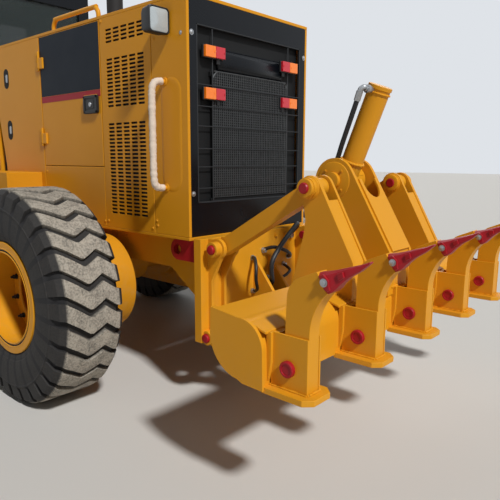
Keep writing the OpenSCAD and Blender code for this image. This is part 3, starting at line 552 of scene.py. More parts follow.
def grille_in(bm, low, high, columns, rows, slot, face, depth):
    """A sheet of x and z at y = face, with rows of round-ended slots cut through it."""
    wide = (high[0] - low[0]) / columns
    tall = (high[1] - low[1]) / rows
    turn = slot[1] * 0.42
    for i in range(columns):
        for j in range(rows):
            x0, z0 = low[0] + i * wide, low[1] + j * tall
            cx, cz = x0 + wide / 2.0, z0 + tall / 2.0
            outer = [bm.verts.new(at(x, face, z)) for x, z in (
                (x0 + wide, z0 + tall), (x0, z0 + tall), (x0, z0), (x0 + wide, z0))]
            inner = []
            for k, (sx, sz) in enumerate(((1, 1), (-1, 1), (-1, -1), (1, -1))):
                for m in range(3):
                    a = math.pi * (k * 0.5 + m * 0.25)
                    x = cx + sx * (slot[0] / 2.0 - turn) + turn * math.cos(a)
                    z = cz + sz * (slot[1] / 2.0 - turn) + turn * math.sin(a)
                    inner.append(bm.verts.new(at(x, face, z)))
            deep = [bm.verts.new(v.co - Vector((0.0, depth / 1000.0, 0.0))) for v in inner]
            for k in range(4):
                n = (k + 1) % 4
                bm.faces.new((outer[k], outer[n], inner[3 * n + 1], inner[3 * n],
                              inner[3 * k + 2], inner[3 * k + 1]))
            for k in range(12):
                n = (k + 1) % 12
                bm.faces.new((inner[k], inner[n], deep[n], deep[k]))


class GraderLooks(bpy.types.PropertyGroup):
    """Sizes and colours that a user would change."""

    paint: bpy.props.StringProperty(
        name="Machine paint", description="sRGB hex colour of the machine's paint",
        default="#df991c")
    red: bpy.props.StringProperty(
        name="Pin and tooth paint", description="sRGB hex colour of the pins and teeth",
        default="#a11722")
    lugs: bpy.props.IntProperty(
        name="Tread lugs", description="Number of lugs round each tyre", default=29, min=20,
        max=48)
    lug_depth: bpy.props.FloatProperty(
        name="Lug depth", description="Depth of the grooves between two lugs", default=0.027,
        min=0.01, max=0.04, unit="LENGTH", subtype="DISTANCE")


# The photograph's camera, solved from the tyres, axles and panel edges: metres, millimetres and radians
CAMERA_PLACE = (-5.947, 2.733, 1.526)
CAMERA_LENS = 39.01
CAMERA_YAW, CAMERA_PITCH, CAMERA_ROLL = 0.8444, 0.166, -0.0034


class StageOperator(bpy.types.Operator):
    """Add the pale floor, the soft lamps and the photograph's camera"""

    bl_idname = "grader.stage"
    bl_label = "Stage"

    def execute(self, context):
        scene = context.scene
        scene.view_settings.view_transform = "Standard"
        bm = bmesh.new()
        bmesh.ops.create_grid(bm, x_segments=1, y_segments=1, size=60.0)
        floor = make_object("floor", bm, plain_finish("Pale Studio Floor", "#cfccc6", 0.9,
                                                      grain_mm=900.0, change=0.03))
        floor.location.z = -0.002
        world = bpy.data.worlds.new("studio")
        scene.world = world
        world.use_nodes = True
        tree = world.node_tree
        tree.nodes.clear()
        path = add_node(tree, "ShaderNodeLightPath")
        seen = add_node(tree, "ShaderNodeBackground", Color=linear("#dfe3e8"), Strength=1.0)
        sky = add_node(tree, "ShaderNodeBackground", Color=linear("#dfe6f0"), Strength=0.12)
        # The pale backdrop is what the camera, a reflection or a pane of glass sees
        shown = path.outputs["Is Camera Ray"]
        for ray in ("Is Glossy Ray", "Is Transmission Ray"):
            shown = combine(tree, "MAXIMUM", shown, path.outputs[ray])
        mix = add_node(tree, "ShaderNodeMixShader", [
            (0, shown), (1, sky.outputs[0]), (2, seen.outputs[0])])
        add_node(tree, "ShaderNodeOutputWorld", [("Surface", mix.outputs[0])])
        # One high soft sun behind the ripper, and a broad weak one over the far front corner
        for name, toward, strength, angle in (
                ("key", (-0.68, 0.21, 0.70), 3.15, 5.0),
                ("fill", (0.62, -0.62, 0.48), 0.7, 50.0)):
            data = bpy.data.lights.new(name, "SUN")
            data.energy = strength
            data.angle = math.radians(angle)
            lamp = bpy.data.objects.new(name, data)
            lamp.rotation_euler = Vector(toward).to_track_quat("Z", "Y").to_euler()
            scene.collection.objects.link(lamp)
        data = bpy.data.cameras.new("camera")
        data.sensor_width = 36.0
        data.sensor_fit = "HORIZONTAL"
        data.lens = CAMERA_LENS
        camera = bpy.data.objects.new("camera", data)
        cos_yaw, sin_yaw = math.cos(CAMERA_YAW), math.sin(CAMERA_YAW)
        cos_pitch, sin_pitch = math.cos(CAMERA_PITCH), math.sin(CAMERA_PITCH)
        forward = Vector((cos_yaw * cos_pitch, -sin_yaw * cos_pitch, -sin_pitch))
        right = Vector((-sin_yaw, -cos_yaw, 0.0))
        turn = Matrix.Rotation(CAMERA_ROLL, 3, forward)
        axes = Matrix((turn @ right, turn @ right.cross(forward), -forward)).transposed()
        camera.matrix_world = Matrix.Translation(CAMERA_PLACE) @ axes.to_4x4()
        scene.collection.objects.link(camera)
        scene.camera = camera
        return {"FINISHED"}


# Half of a tyre's section in millimetres, from the bead to the crown: radius and width
TYRE_HALF = ((317.5, 187), (350, 187), (356, 196), (372, 204), (392, 207), (398, 213), (430, 219.5),
             (470, 222), (510, 221.5), (545, 219), (549, 221.5), (556, 221.5), (560, 217.5),
             (585, 213.5), (612, 209), (640, 203), (652, 190), (663, 176), (672, 165), (674.5, 140))
# Across the tread's flat crown, and the widths at which its wave is drawn
CROWN_RADIUS = 674.8
CROWN_WIDTHS = (118, 103, 80, 50, 30, 12, -10, -40, -60, -74, -88, -110, -126)
# Where the tread's wave bends: place across the tread, and turn as a part of one lug's pitch
WAVE = ((-205, 0.18), (-150, 0.24), (-120, 0.39), (-74, 0.63), (-26, 0.43), (21, 0.27), (103, 0.68),
        (175, 1.0), (205, 1.03))
# Round one lug's pitch: place, and how deep the groove is there as a part of its full depth
GROOVE = ((0.0, 0.0), (0.03, 1.0), (0.16, 1.0), (0.29, 1.0), (0.32, 0.0), (0.49, 0.0), (0.66, 0.0),
          (0.83, 0.0))
# Grooves deepen from this radius over the next stretch, and dust lies on what is above and within these
GROOVE_FROM, GROOVE_OVER = 560.0, 60.0
DUSTY_RADIUS, DUSTY_WIDTH = 665, 168


def wave_turn(width):
    """How far round a groove lies at a place across the tread, as a part of the pitch."""
    if width <= WAVE[0][0]:
        return WAVE[0][1]
    for (w0, t0), (w1, t1) in zip(WAVE, WAVE[1:]):
        if width <= w1:
            return t0 + (t1 - t0) * (width - w0) / (w1 - w0)
    return WAVE[-1][1]


def tyre_mesh(lugs, depth):
    """A tyre about its own axis, z pointing out, with lugs that run across in a wave."""
    bm = bmesh.new()
    layer = bm.verts.layers.float.new("tread")
    pitch = 2.0 * math.pi / lugs
    section = list(TYRE_HALF) + [(CROWN_RADIUS, w) for w in CROWN_WIDTHS]
    section += [(r, -w) for r, w in reversed(TYRE_HALF)]
    columns = []
    for lug in range(lugs):
        for phase, cut in GROOVE:
            column = []
            for radius, width in section:
                # Grooves fade out down the shoulder
                reach = max(0.0, min(1.0, (radius - GROOVE_FROM) / GROOVE_OVER)) ** 0.7
                drop = depth * 1000.0 * cut * reach
                inward = 12.0 * cut * reach if abs(width) > 160 else 0.0
                angle = (lug + phase + wave_turn(width)) * pitch
                side = 1.0 if width > 0 else -1.0
                vert = bm.verts.new((math.cos(angle) * (radius - drop) / 1000.0,
                                     math.sin(angle) * (radius - drop) / 1000.0,
                                     (width - side * inward) / 1000.0))
                dusty = 1.0 if abs(width) < DUSTY_WIDTH and radius > DUSTY_RADIUS else 0.05
                vert[layer] = dusty * (1.0 - 0.95 * cut)
                column.append(vert)
            columns.append(column)
    bridge(bm, columns, closed=True)
    return bm


WHEELS = (("rear", "left"), ("rear", "right"), ("mid", "left"), ("mid", "right"),
          ("front", "left"), ("front", "right"))


class TyresOperator(bpy.types.Operator):
    """Add the six tyres with wave-shaped lugs"""

    bl_idname = "grader.tyres"
    bl_label = "Tyres"

    def execute(self, context):
        look = context.scene.grader_looks
        for place, side in WHEELS:
            node = "tyre_" + place + "_" + side
            low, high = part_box(node)
            bm = tyre_mesh(look.lugs, look.lug_depth)
            tyre = make_object(node + "_lugged", bm, "tyre_rubber", smooth=32.0)
            out = 1.0 if side == "left" else -1.0
            turn = Matrix.Rotation(-out * math.pi / 2.0, 4, "X")
            tyre.data.transform(Matrix.Translation((low + high) / 2.0) @ turn)
            settle(tyre, "wheel_" + place + "_" + side, [node])
        return {"FINISHED"}


# The tyres' middle, out from the machine's middle, and the round lips at a rim's outer edge, with a black
# ring of painted shade in the gap between them
TYRE_Y = 1100.0
LIP_RINGS = (("lock_rings_", "plate_enamel", "paint", ((309.0, 7.0), (287.0, 6.0))),
             ("lock_gap_", "painted_shade_black", "dark_metal", ((298.0, 4.5),)))


class RimsOperator(bpy.types.Operator):
    """Add the painted rims with their nuts"""

    bl_idname = "grader.rims"
    bl_label = "Rims"

    def execute(self, context):
        for place, side in WHEELS:
            wheel = place + "_" + side
            body = "wheel_" + wheel
            dress("rim_" + wheel, "plate_enamel", 4.0)
            low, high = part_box("rim_" + wheel)
            out = 1 if side == "left" else -1
            x = (low.x + high.x) * 500.0 - REAR_AXLE_X
            z = (low.z + high.z) * 500.0
            # The front nuts are on the disc, the others on a flange in the middle of the rim
            front = place == "front"
            face, circle = (40.0, 235.0) if front else (8.0, 264.0)
            bm = bmesh.new()
            for k in range(12):
                t = math.pi * (k + 0.5) / 6.0
                nut = (x + circle * math.cos(t), out * (TYRE_Y + face), z + circle * math.sin(t))
                turned_in(bm, nut, (0, out, 0),
                          ((-2, 20), (6, 20), (6, 16), (24, 16), (26, 9), (40, 9), (40, 0)), 6)
            put(bm, "nuts_" + wheel, "soot_black", body)
            if not front:
                bm = bmesh.new()
                turned_in(bm, (x, out * TYRE_Y, z), (0, out, 0),
                          ((-6, 301), (8, 301), (8, 232), (2, 226), (-6, 226), (-6, 301)), 72)
                put(bm, "nut_flange_" + wheel, "plate_enamel", body, smooth=40)
            # The lock ring and the flange show as two round lips with a dark gap: a black ring that is
            # painted shade
            lip = (high.y if side == "left" else low.y) * 1000.0 - out * 5.0
            for name, material, slot, turns in LIP_RINGS:
                bm = bmesh.new()
                for radius, thick in turns:
                    ring_in(bm, (x, lip, z), (0, 1, 0), radius, thick, 72)
                put(bm, name + wheel, material, body, smooth=60)
        return {"FINISHED"}


# The hood's top sheet is 20 mm thick and lies on the side panels
HOOD_TOP_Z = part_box("side_panels")[1].z * 1000.0 + 20.0

# CAD nodes shown with rounded edges: the finish, then each node and its edges' width in millimetres
DRESSED = {
    "plate_enamel": (("ripper_mount", 3.0), ("ripper_arms", 3.0), ("ripper_links", 3.0),
                     ("ripper_cylinder", 3.0)),
    "chassis_enamel": (("rear_frame", 4.0), ("tandems", 10.0), ("front_frame", 6.0),
                       ("front_axle", 5.0), ("knuckle_left", 3.0), ("knuckle_right", 3.0),
                       ("spindle_left", 3.0), ("spindle_right", 3.0), ("lean_bar", 3.0),
                       ("drawbar", 5.0), ("circle_ring", 3.0), ("blade_carriage", 4.0),
                       ("lift_cylinder_left", 4.0), ("lift_cylinder_right", 4.0),
                       ("shift_cylinder", 4.0)),
    "chrome": (("ripper_rod", 2.0), ("lift_rod_left", 2.0), ("lift_rod_right", 2.0),
               ("shift_rod", 2.0)),
    "worn_steel": (("moldboard", 3.0), ("tie_rod", 2.0), ("drawbar_ball", 0.0)),
    "soot_black": (("engine", 8.0), ("hood_stacks", 4.0)),
    "black_plastic": (("cab_interior", 12.0), ("headlamps", 8.0)),
    "cab_glass": (("cab_glass", 0.0), ("door_glass_left", 0.0), ("door_glass_right", 0.0)),
}


class BodyworkOperator(bpy.types.Operator):
    """Round the edges of the plates, castings and cab, and paint them"""

    bl_idname = "grader.bodywork"
    bl_label = "Painted Bodywork"

    def execute(self, context):
        for material, nodes in DRESSED.items():
            for node, width in nodes:
                dress(node, material, width)
        # The cab is black from the window sill up
        for node in ("cab_frame", "cab_door_left", "cab_door_right"):
            dress(node, "panel_enamel", 4.0, upper=(1900.0, "black_enamel"))
        # The hood's own hand rails are drawn again with round bends
        dress("hood_top", "panel_enamel", 3.0, keep_below=HOOD_TOP_Z + 4.0)
        bm = bmesh.new()
        front, rear, y, top, bend = 658, 66, 514, 2546.0, 60.0
        outline = [(rear, HOOD_TOP_Z - 4), (rear, 2470)]
        outline += arc((rear + bend, top - bend), bend, 180.0, 90.0, 5)
        outline += arc((front - bend, top - bend), bend, 90.0, 0.0, 5)
        outline += [(front, 2470), (front, HOOD_TOP_Z - 4)]
        tube_in(bm, [(x, y, z) for x, z in outline], 16.0, 16)
        for x in (rear, front):
            turned_in(bm, (x, y, HOOD_TOP_Z - 1), (0, 0, 1), ((0, 27), (5, 26), (7, 18), (7, 0)), 24)
        put(bm, "hood_rails", "plate_enamel", "rear", mirror=True, smooth=50)
        return {"FINISHED"}


# The hood's sides: the outer and inner faces of its sheets
HOOD_Y = 574.0
PANEL_Y = 554.0
# Slots in the grille sheet: lower edge, upper edge and rows
SLOT_ZONES = ((1151.0, 1766.0, 25), (1860.0, 2179.8, 13), (2268.0, 2366.0, 4))
KEYS = ((1362, 2180), (1350, 1762))
PANEL_SCREWS = ((-45, 2415), (-540, 2415), (765, 1429), (-10, 1095), (-51, 1101), (-582, 1140), (-540, 1089),
                (-590, 2236), (-590, 1110), (820, 1110), (1400, 1110))
# The latch's cover stands on the door's raised block
COVER_Y = HOOD_Y + 13.5


class SidePanelsOperator(bpy.types.Operator):
    """Add the fixed side panels with their slot grilles, screws and hinge leaves"""

    bl_idname = "grader.side_panels"
    bl_label = "Side Panels"

    def execute(self, context):
        # Plain sheets: under the door, ahead of it, and the rear corner
        bm = bmesh.new()
        box_in(bm, (-20, PANEL_Y, 1060), (790, HOOD_Y, 1470))
        prism_in(bm, [(794, 1060), (1440, 1060), (1461, 1477), (1580, 2070), (1580, 2435), (794, 2435)],
                 PANEL_Y, HOOD_Y)
        box_in(bm, (-886, PANEL_Y, 1060), (-564, HOOD_Y, 2435))
        put(bm, "side_sheets", "panel_enamel", "rear", ["side_panels"], mirror=True, edge=(4.0, 3))
        # The grille sheet, its slots cut right through
        bm = bmesh.new()
        edges = [1062.0]
        for low, high, rows in SLOT_ZONES:
            grille_in(bm, (-498.5, low), (-83.5, high), 5, rows, (68.0, 14.5), HOOD_Y, 5.0)
            edges += [low, high]
        edges.append(2433.0)
        solid = [(-558.0, 1062.0, -498.5, 2433.0), (-83.5, 1062.0, -26.0, 2433.0)]
        solid += [(-498.5, edges[k], -83.5, edges[k + 1]) for k in (0, 2, 4, 6)]
        for x0, z0, x1, z1 in solid:
            bm.faces.new([bm.verts.new(at(x, HOOD_Y, z)) for x, z in (
                (x0, z0), (x0, z1), (x1, z1), (x1, z0))])
        # Its edges: the face's rim, a small corner, and back to the sheet's inside
        rim = [(-558, 1062), (-26, 1062), (-26, 2433), (-558, 2433)]
        corner = [(-560, 1060), (-24, 1060), (-24, 2435), (-560, 2435)]
        bridge(bm, [[bm.verts.new(at(x, y, z)) for x, z in outline]
                    for outline, y in ((rim, HOOD_Y), (corner, HOOD_Y - 2), (corner, PANEL_Y))])
        bmesh.ops.remove_doubles(bm, verts=bm.verts, dist=1e-5)
        put(bm, "slotted_sheets", "panel_enamel", "rear", mirror=True)
        # Darkness behind the slots
        # A black sheet behind the slots: painted shade of the hood's inside
        bm = bmesh.new()
        box_in(bm, (-555, PANEL_Y + 1, 1070), (-30, PANEL_Y + 8, 2425))
        put(bm, "slot_painted_shade", "painted_shade_black", "rear", mirror=True)
        # The pressed oval behind the grab handle stands 3 mm proud with soft edges
        bm = bmesh.new()
        rings = [[bm.verts.new(at(x, HOOD_Y + proud, z)) for x, z in stadium((-742, 1665), 245, 92 + grow)]
                 for grow, proud in ((0, 0.2), (-5, 1.6), (-12, 2.6), (-22, 3.0))]
        bridge(bm, rings)
        bm.faces.new(rings[-1])
        put(bm, "pressed_ovals", "panel_enamel", "rear", mirror=True, smooth=60)
        # Key openings: black stadiums that paint the shade in their recesses, with the lock seen inside
        bm = bmesh.new()
        for x, z in KEYS:
            prism_in(bm, stadium((x, z), 38, 42), HOOD_Y, HOOD_Y + 1.5)
        # A black sheet behind the panel's slanted front edge: painted shade of the hood's inside
        box_in(bm, (1430, PANEL_Y - 30, 1060), (1585, PANEL_Y - 20, 2100))
        put(bm, "keyhole_painted_shade", "painted_shade_black", "rear", mirror=True)
        bm = bmesh.new()
        for x, z in KEYS:
            prism_in(bm, stadium((x - 14, z), 18, 15), HOOD_Y + 1, HOOD_Y + 6)
        screws_in(bm, [(-835, HOOD_Y, 2236)], (0, 1, 0), 8)
        put(bm, "lock_cases", "zinc", "rear", mirror=True)
        bm = bmesh.new()
        screws_in(bm, [(x, HOOD_Y, z) for x, z in PANEL_SCREWS], (0, 1, 0), 8)
        put(bm, "panel_screws", "panel_enamel", "rear", mirror=True)
        # Fixed hinge leaves beside the doors, with their barrels
        bm = bmesh.new()
        for low, high in ((2188, 2330), (1624, 1760)):
            tall = high - low
            box_in(bm, (794, HOOD_Y, low), (843, HOOD_Y + 7, high))
            turned_in(bm, (793, HOOD_Y + 8, low), (0, 0, 1), ((0, 6), (2, 9), (tall - 2, 9), (tall, 6)), 20)
            screws_in(bm, [(824, HOOD_Y + 7, low + share * tall) for share in (0.18, 0.5, 0.82)],
                      (0, 1, 0), 5)
        put(bm, "hinge_leaves", "plate_enamel", "rear", mirror=True, edge=(1.0, 1))
        # Small louvres in the skirt under the grille
        bm = bmesh.new()
        for column in range(2):
            for row in range(4):
                place = (-120 + column * 115, 985 + row * 15)
                prism_in(bm, stadium(place, 36, 4, upright=False, steps=4), 500, 506)
        put(bm, "skirt_louvres", "chassis_enamel", "rear", mirror=True)
        return {"FINISHED"}


class EngineDoorsOperator(bpy.types.Operator):
    """Add the engine doors with their charcoal panel, plain red band and latch"""

    bl_idname = "grader.engine_doors"
    bl_label = "Engine Doors"

    def execute(self, context):
        for side in ("left", "right"):
            node = "engine_door_" + side
            dress(node, "panel_enamel", 3.0)
            panel, band, latch, lock = bmesh.new(), bmesh.new(), bmesh.new(), bmesh.new()
            prism_in(panel, ((-12, 2426), (782, 2426), (782, 1992), (-12, 1992)), HOOD_Y - 1, HOOD_Y + 1.2)
            prism_in(band, ((-12, 1990), (782, 1990), (782, 1946), (-12, 1946)), HOOD_Y - 1, HOOD_Y + 1.2)
            # Paddle latch: a cover, its rim and the paddle in it
            prism_in(latch, rounded_box((12, 1833), (184, 1957), 16), HOOD_Y, COVER_Y)
            for (x0, z0), (x1, z1) in (((16, 1837), (32, 1953)), ((164, 1837), (180, 1953)),
                                       ((16, 1837), (180, 1853)), ((16, 1937), (180, 1953))):
                box_in(latch, (x0, COVER_Y - 1, z0), (x1, COVER_Y + 6, z1))
            prism_in(latch, rounded_box((58, 1866), (148, 1924), 10), COVER_Y - 1, COVER_Y + 3)
            turned_in(lock, (98, COVER_Y + 2.5, 1895), (0, 1, 0), ((0, 16), (3, 15), (3.2, 6), (2.5, 0)), 18)
            for bm, name, material, slot, edge in (
                    (panel, "charcoal_panel_", "charcoal", "black_panel", ()),
                    (band, "red_band_", "band_red", "red_paint", ()),
                    (latch, "latch_", "black_plastic", "trim", (1.5,)),
                    (lock, "lock_", "zinc", "rod_steel", ())):
                if side == "right":
                    flip_side(bm)
                put(bm, name + side, material, node, edge=edge)
        return {"FINISHED"}


def rounded_box(low, high, radius, steps=5):
    """A rectangle of x and z with round corners."""
    outline = []
    for k, (cx, cz) in enumerate(((high[0] - radius, high[1] - radius), (low[0] + radius, high[1] - radius),
                                  (low[0] + radius, low[1] + radius), (high[0] - radius, low[1] + radius))):
        for m in range(steps):
            a = math.pi * 0.5 * (k + m / (steps - 1.0))
            outline.append((cx + radius * math.cos(a), cz + radius * math.sin(a)))
    return outline


class RearPanelOperator(bpy.types.Operator):
    """Add the black rear frame, the screen, the cooler behind it and the drum"""

    bl_idname = "grader.rear_panel"
    bl_label = "Rear Panel"

    def execute(self, context):
        # Glossy frame of four sheets round the opening, with a folded inner lip
        bm = bmesh.new()
        for a, b in (((-884, -554, 1060), (-866, 554, 1262)), ((-884, -554, 2294), (-866, 554, 2435)),
                     ((-884, 498, 1262), (-866, 554, 2294)), ((-884, -554, 1262), (-866, -498, 2294))):
            box_in(bm, a, b)
        bmesh.ops.remove_doubles(bm, verts=bm.verts, dist=1e-5)
        put(bm, "black_rear_frame", "black_enamel", "rear", ["rear_panel"])
        bm = bmesh.new()
        for a, b in (((-884, -498, 1262), (-868, 498, 1270)), ((-884, -498, 2286), (-868, 498, 2294)),
                     ((-884, 490, 1262), (-868, 498, 2294)), ((-884, -498, 1262), (-868, -490, 2294))):
            box_in(bm, a, b)
        for z in (1351, 1479, 1588, 1720, 1836, 1960):
            box_in(bm, (-882, -490, z - 3), (-876, 490, z + 3))
        for y in (-365, 365):
            box_in(bm, (-880, y - 4, 1270), (-874, y + 4, 2286))
        put(bm, "screen_frame", "screen_wire", "rear", edge=(1.0, 1))
        # The screen is 10 mm mesh under an arched edge, drawn at 18 mm so that its holes show
        bm = bmesh.new()
        corner_y, corner_z, bend, low_z = 300.0, 1985.0, 62.0, 1290
        arch = arc((-corner_y, corner_z), bend, 180.0, 90.0, 6)
        arch += arc((corner_y, corner_z), bend, 90.0, 0.0, 6)
        for k in range(41):
            y = -360 + k * 18.0
            past = max(0.0, abs(y) - corner_y)
            top = corner_z + math.sqrt(bend ** 2 - past ** 2)
            box_in(bm, (-877, y - 2.6, low_z), (-872, y + 2.6, top))
        for k in range(50):
            z = 1292 + k * 15.0
            box_in(bm, (-874, -362, z - 2.0), (-870, 362, z + 2.0))
        route = [(-362, low_z)] + arch + [(362, low_z)]
        tube_in(bm, [(-875, y, z) for y, z in route], 4.0, 6)
        put(bm, "mesh_screen", "bright_wire", "rear")
        # Cooler core: fins and tubes behind the screen
        bm = bmesh.new()
        box_in(bm, (-848, -498, 1262), (-842, 498, 2294))
        for k in range(24):
            y = -350 + k * 30.4
            box_in(bm, (-862, y - 4, 1272), (-848, y + 4, 2030))
        for z in (1272, 2030):
            box_in(bm, (-866, -370, z - 14), (-848, 370, z + 14))
        put(bm, "cooler_core", "cooler_core", "rear", edge=(1.5, 1))
        # The drum between the upper lamps, drawn taller than it is deep
        bm = bmesh.new()
        drum_z = 2118
        turned_in(bm, (-846, -330, drum_z), (0, 1, 0),
                  ((0, 0), (4, 18), (12, 26), (628, 26), (636, 18), (640, 0)), 28)
        for vert in bm.verts:
            vert.co.z = drum_z / 1000.0 + (vert.co.z - drum_z / 1000.0) * 2.6
        put(bm, "upper_drum", "black_enamel", "rear", smooth=50)
        bm = bmesh.new()
        screws_in(bm, [(-886, y, z) for y in (-537, 537) for z in (1321, 2238)], (-1, 0, 0), 11)
        put(bm, "rear_screws", "zinc", "rear")
        return {"FINISHED"}


class LampsOperator(bpy.types.Operator):
    """Add the rear lamps and the two work lamps"""

    bl_idname = "grader.lamps"
    bl_label = "Rear Lamps"

    def execute(self, context):
        amber, red, base = bmesh.new(), bmesh.new(), bmesh.new()
        for z in (1878, 2118):
            for bm, y0, y1 in ((red, 280, 358), (amber, 360, 444)):
                # A lens with a small screw in it
                box_in(bm, (-906, y0, z), (-886, y1, z + 66))
                screws_in(bm, [(-906, (y0 + y1) / 2.0 - 30, z + 33)], (-1, 0, 0), 3)
            box_in(base, (-888, 274, z - 4), (-872, 450, z + 70))
            box_in(base, (-880, 300, z - 30), (-872, 330, z))
        for bm, name, material, slot, nodes in (
                (amber, "amber_lenses", "amber_lens", "lens", ["rear_lights"]),
                (red, "red_lenses", "red_lens", "lens", []),
                (base, "lamp_bases", "black_plastic", "trim", [])):
            put(bm, name, material, "rear", nodes, mirror=True, edge=(3.0, 3))
        # Work lamps: a square shell that narrows to the back, a domed lens, and an arm
        shell, lens, arm = bmesh.new(), bmesh.new(), bmesh.new()
        y, z, half = 652.0, 2305.0, 74.0
        for bm, stations in (
                (shell, ((-640, 44), (-652, 56), (-676, 68), (-736, half), (-746, half - 2),
                         (-748, half - 6), (-740, half - 10))),
                (lens, ((-738, half - 9), (-744, half - 11), (-750, 42), (-752, 18)))):
            rings = [[bm.verts.new(at(x, *place)) for place in
                      rounded_box((y - size, z - size), (y + size, z + size), size * 0.3)]
                     for x, size in stations]
            bridge(bm, rings)
            bm.faces.new(rings[0])
            bm.faces.new(rings[-1][::-1])
        box_in(arm, (-712, 572, 2290), (-684, 590, 2320))
        box_in(arm, (-722, 572, 2276), (-674, 579, 2334))
        screws_in(arm, [(-714, 579, 2326), (-682, 579, 2284)], (0, 1, 0), 5)
        for bm, name, material, slot in ((shell, "work_lamp_shells", "black_plastic", "trim"),
                                         (lens, "work_lamp_lenses", "lamp_glass", "lens"),
                                         (arm, "work_lamp_arms", "black_plastic", "trim")):
            put(bm, name, material, "rear", mirror=True, smooth=40)
        return {"FINISHED"}


class HandlesOperator(bpy.types.Operator):
    """Add the grab handles in their white foam"""

    bl_idname = "grader.handles"
    bl_label = "Grab Handles"

    def execute(self, context):
        foam, feet = bmesh.new(), bmesh.new()
        x = -685
        path = [(600, 1352), (640, 1356), (666, 1380), (672, 1430)]
        path += [(673, z) for z in range(1480, 1900, 60)]
        path += [(672, 1905), (664, 1950), (636, 1974), (600, 1978)]
        tube_in(foam, [(x, y, z) for y, z in path], 21.0, 20, 0.09, 4)
        for z in (1352, 1978):
            turned_in(feet, (x, HOOD_Y, z), (0, 1, 0), ((-1, 26), (4, 26), (6, 24), (8, 14), (34, 14)), 20)
        put(foam, "foam_wraps", "foam_wrap", "rear", ["grab_handles"], mirror=True, smooth=60)
        put(feet, "handle_feet", "plate_enamel", "rear", mirror=True)
        return {"FINISHED"}


SHANK_YS = (-1068, -534, 0, 534, 1068)
TOWER_PIN = (-1699.6, 1385.4)
BEAM_PIN = (-1649.6, 835.4)
TRUNNION = (-1597.0, 1410.0)
HOLDER_PIN = (-2052.0, 710.0)
HOLDER_HALF = 45.0
# The straight rear edges of the towers and of the centre plates end here, behind the beam
TOWER_HEEL = (-1964.0, 1034.0)
TOW_HOLE = (-730, 971)
# A linkage pin's red end and the collars round pins: distance along and radius
LINK_PIN = ((0, 22), (4, 28), (210, 28), (216, 24), (217, 0))
OUTER_COLLAR = ((0, 60), (5, 58), (9, 52), (30, 52), (31, 48), (44, 48), (47, 45), (47, 29))
INNER_COLLAR = ((0, 58), (4, 56), (7, 50), (20, 50), (22, 46), (22, 29))
BEAM_COLLAR = ((0, 54), (5, 52), (9, 47), (44, 47), (47, 43), (47, 29))
# A tooth from its flared socket to its point: upper point, lower point and half width
TOOTH = (((-2168, 1112), (-2214, 1037), 38), ((-2182, 1115), (-2230, 1044), 42),
         ((-2204, 1119), (-2248, 1060), 38), ((-2236, 1128), (-2264, 1080), 30),
         ((-2285, 1144), (-2297, 1110), 25), ((-2335, 1160), (-2338, 1137), 19),
         ((-2374, 1176), (-2375, 1170), 13))
# The eight corners of a tooth's section, as parts of its height and half width
TOOTH_CORNERS = ((0.0, -0.7), (0.22, -1.0), (0.84, -0.92), (1.0, -0.4),
                 (1.0, 0.4), (0.84, 0.92), (0.22, 1.0), (0.0, 0.7))
# The hose down the cylinder: distance up the barrel, width, and how far outside the barrel's middle
BARREL_HOSE = ((450, 124, -35), (330, 111, -40), (200, 96, -46), (100, 82, -50), (-60, 80, -58),
               (-236, 72, -66))
# Hoses that loop out of the mounting plate and back in: radius and route
PLATE_HOSES = (
    (16, ((-962, -300, 1000), (-1030, -296, 1062), (-1075, -240, 1090), (-1095, -150, 1050),
          (-1100, -40, 972), (-1100, 50, 880), (-1098, 58, 800), (-1082, 30, 740), (-1030, -14, 705),
          (-962, -40, 690))),
    (11, ((-962, 100, 888), (-1010, 122, 888), (-1055, 162, 845), (-1070, 178, 765), (-1050, 142, 702),
          (-1005, 106, 672), (-962, 98, 664))),
    (12, ((-962, -10, 925), (-1040, -34, 950), (-1070, -110, 925), (-1060, -180, 893), (-1010, -250, 860),
          (-962, -280, 850))),
    (10, ((-962, -56, 735), (-1020, -80, 740), (-1062, -115, 742), (-1062, -185, 772), (-1010, -215, 790),
          (-962, -230, 800))))


def beam_section(inset, notched=False):
    """The beam's section: a round back over a flat sole and a bulging front."""
    top = arc((-1838.0, 766.0), 122.0 - inset, 84.0, 180.0, 14)
    sole = [(-1963.0 + inset, 602.0 + inset), (-1850.0, 606.0 + inset)]
    belly, bulge = (-1836.0, 790.0), 173.0 - inset
    if not notched:
        return [(-1668.0 - inset, 905.0 - inset)] + top + sole + arc(belly, bulge, -85.0, 5.0, 14)
    # Room for the arm's round end
    nook = arc(BEAM_PIN, 66.0, 196.0, 150.0, 4)
    return [(-1700.0, 903.0 - inset)] + top + sole + arc(belly, bulge, -85.0, -32.0, 9) + nook


def holder_in(bm, y):
    """A shank's holder on the beam, with its sole plate and weld beads."""
    # Side plates, a front strip and a rolled lip of the beam's top sheet
    for side in (-1, 1):
        box_in(bm, (-2144, y + side * 34, 620), (-1962, y + side * HOLDER_HALF, 846))
        prism_in(bm, [(-1950, 846), (-1976, 846), (-1976, 722), (-1962, 645), (-1950, 628)],
                 y + side * HOLDER_HALF, y + side * (HOLDER_HALF + 16))
    box_in(bm, (-1990, y - 34, 620), (-1950, y + 34, 842))
    prism_in(bm, [(-1790, 884), (-1880, 873), (-1962, 849), (-1962, 838), (-1880, 862), (-1790, 874)],
             y - 79, y + 79)
    # Sole plate with its rear corners cut off
    sole = [(-1946, -88), (-2150, -88), (-2186, -54), (-2186, 54), (-2150, 88), (-1946, 88)]
    slab_in(bm, (0, y, 594), (1, 0, 0), (0, 1, 0), sole, 26.0)
    for side in (-1, 1):
        tube_in(bm, [(x, y + side * 47, 622) for x in (-1960, -2050, -2144)], 5.0, 8, 0.25, int(y) + side)
    tube_in(bm, [(-2146, y + across, 622) for across in (-44, 0, 44)], 5.0, 8, 0.25, int(y))


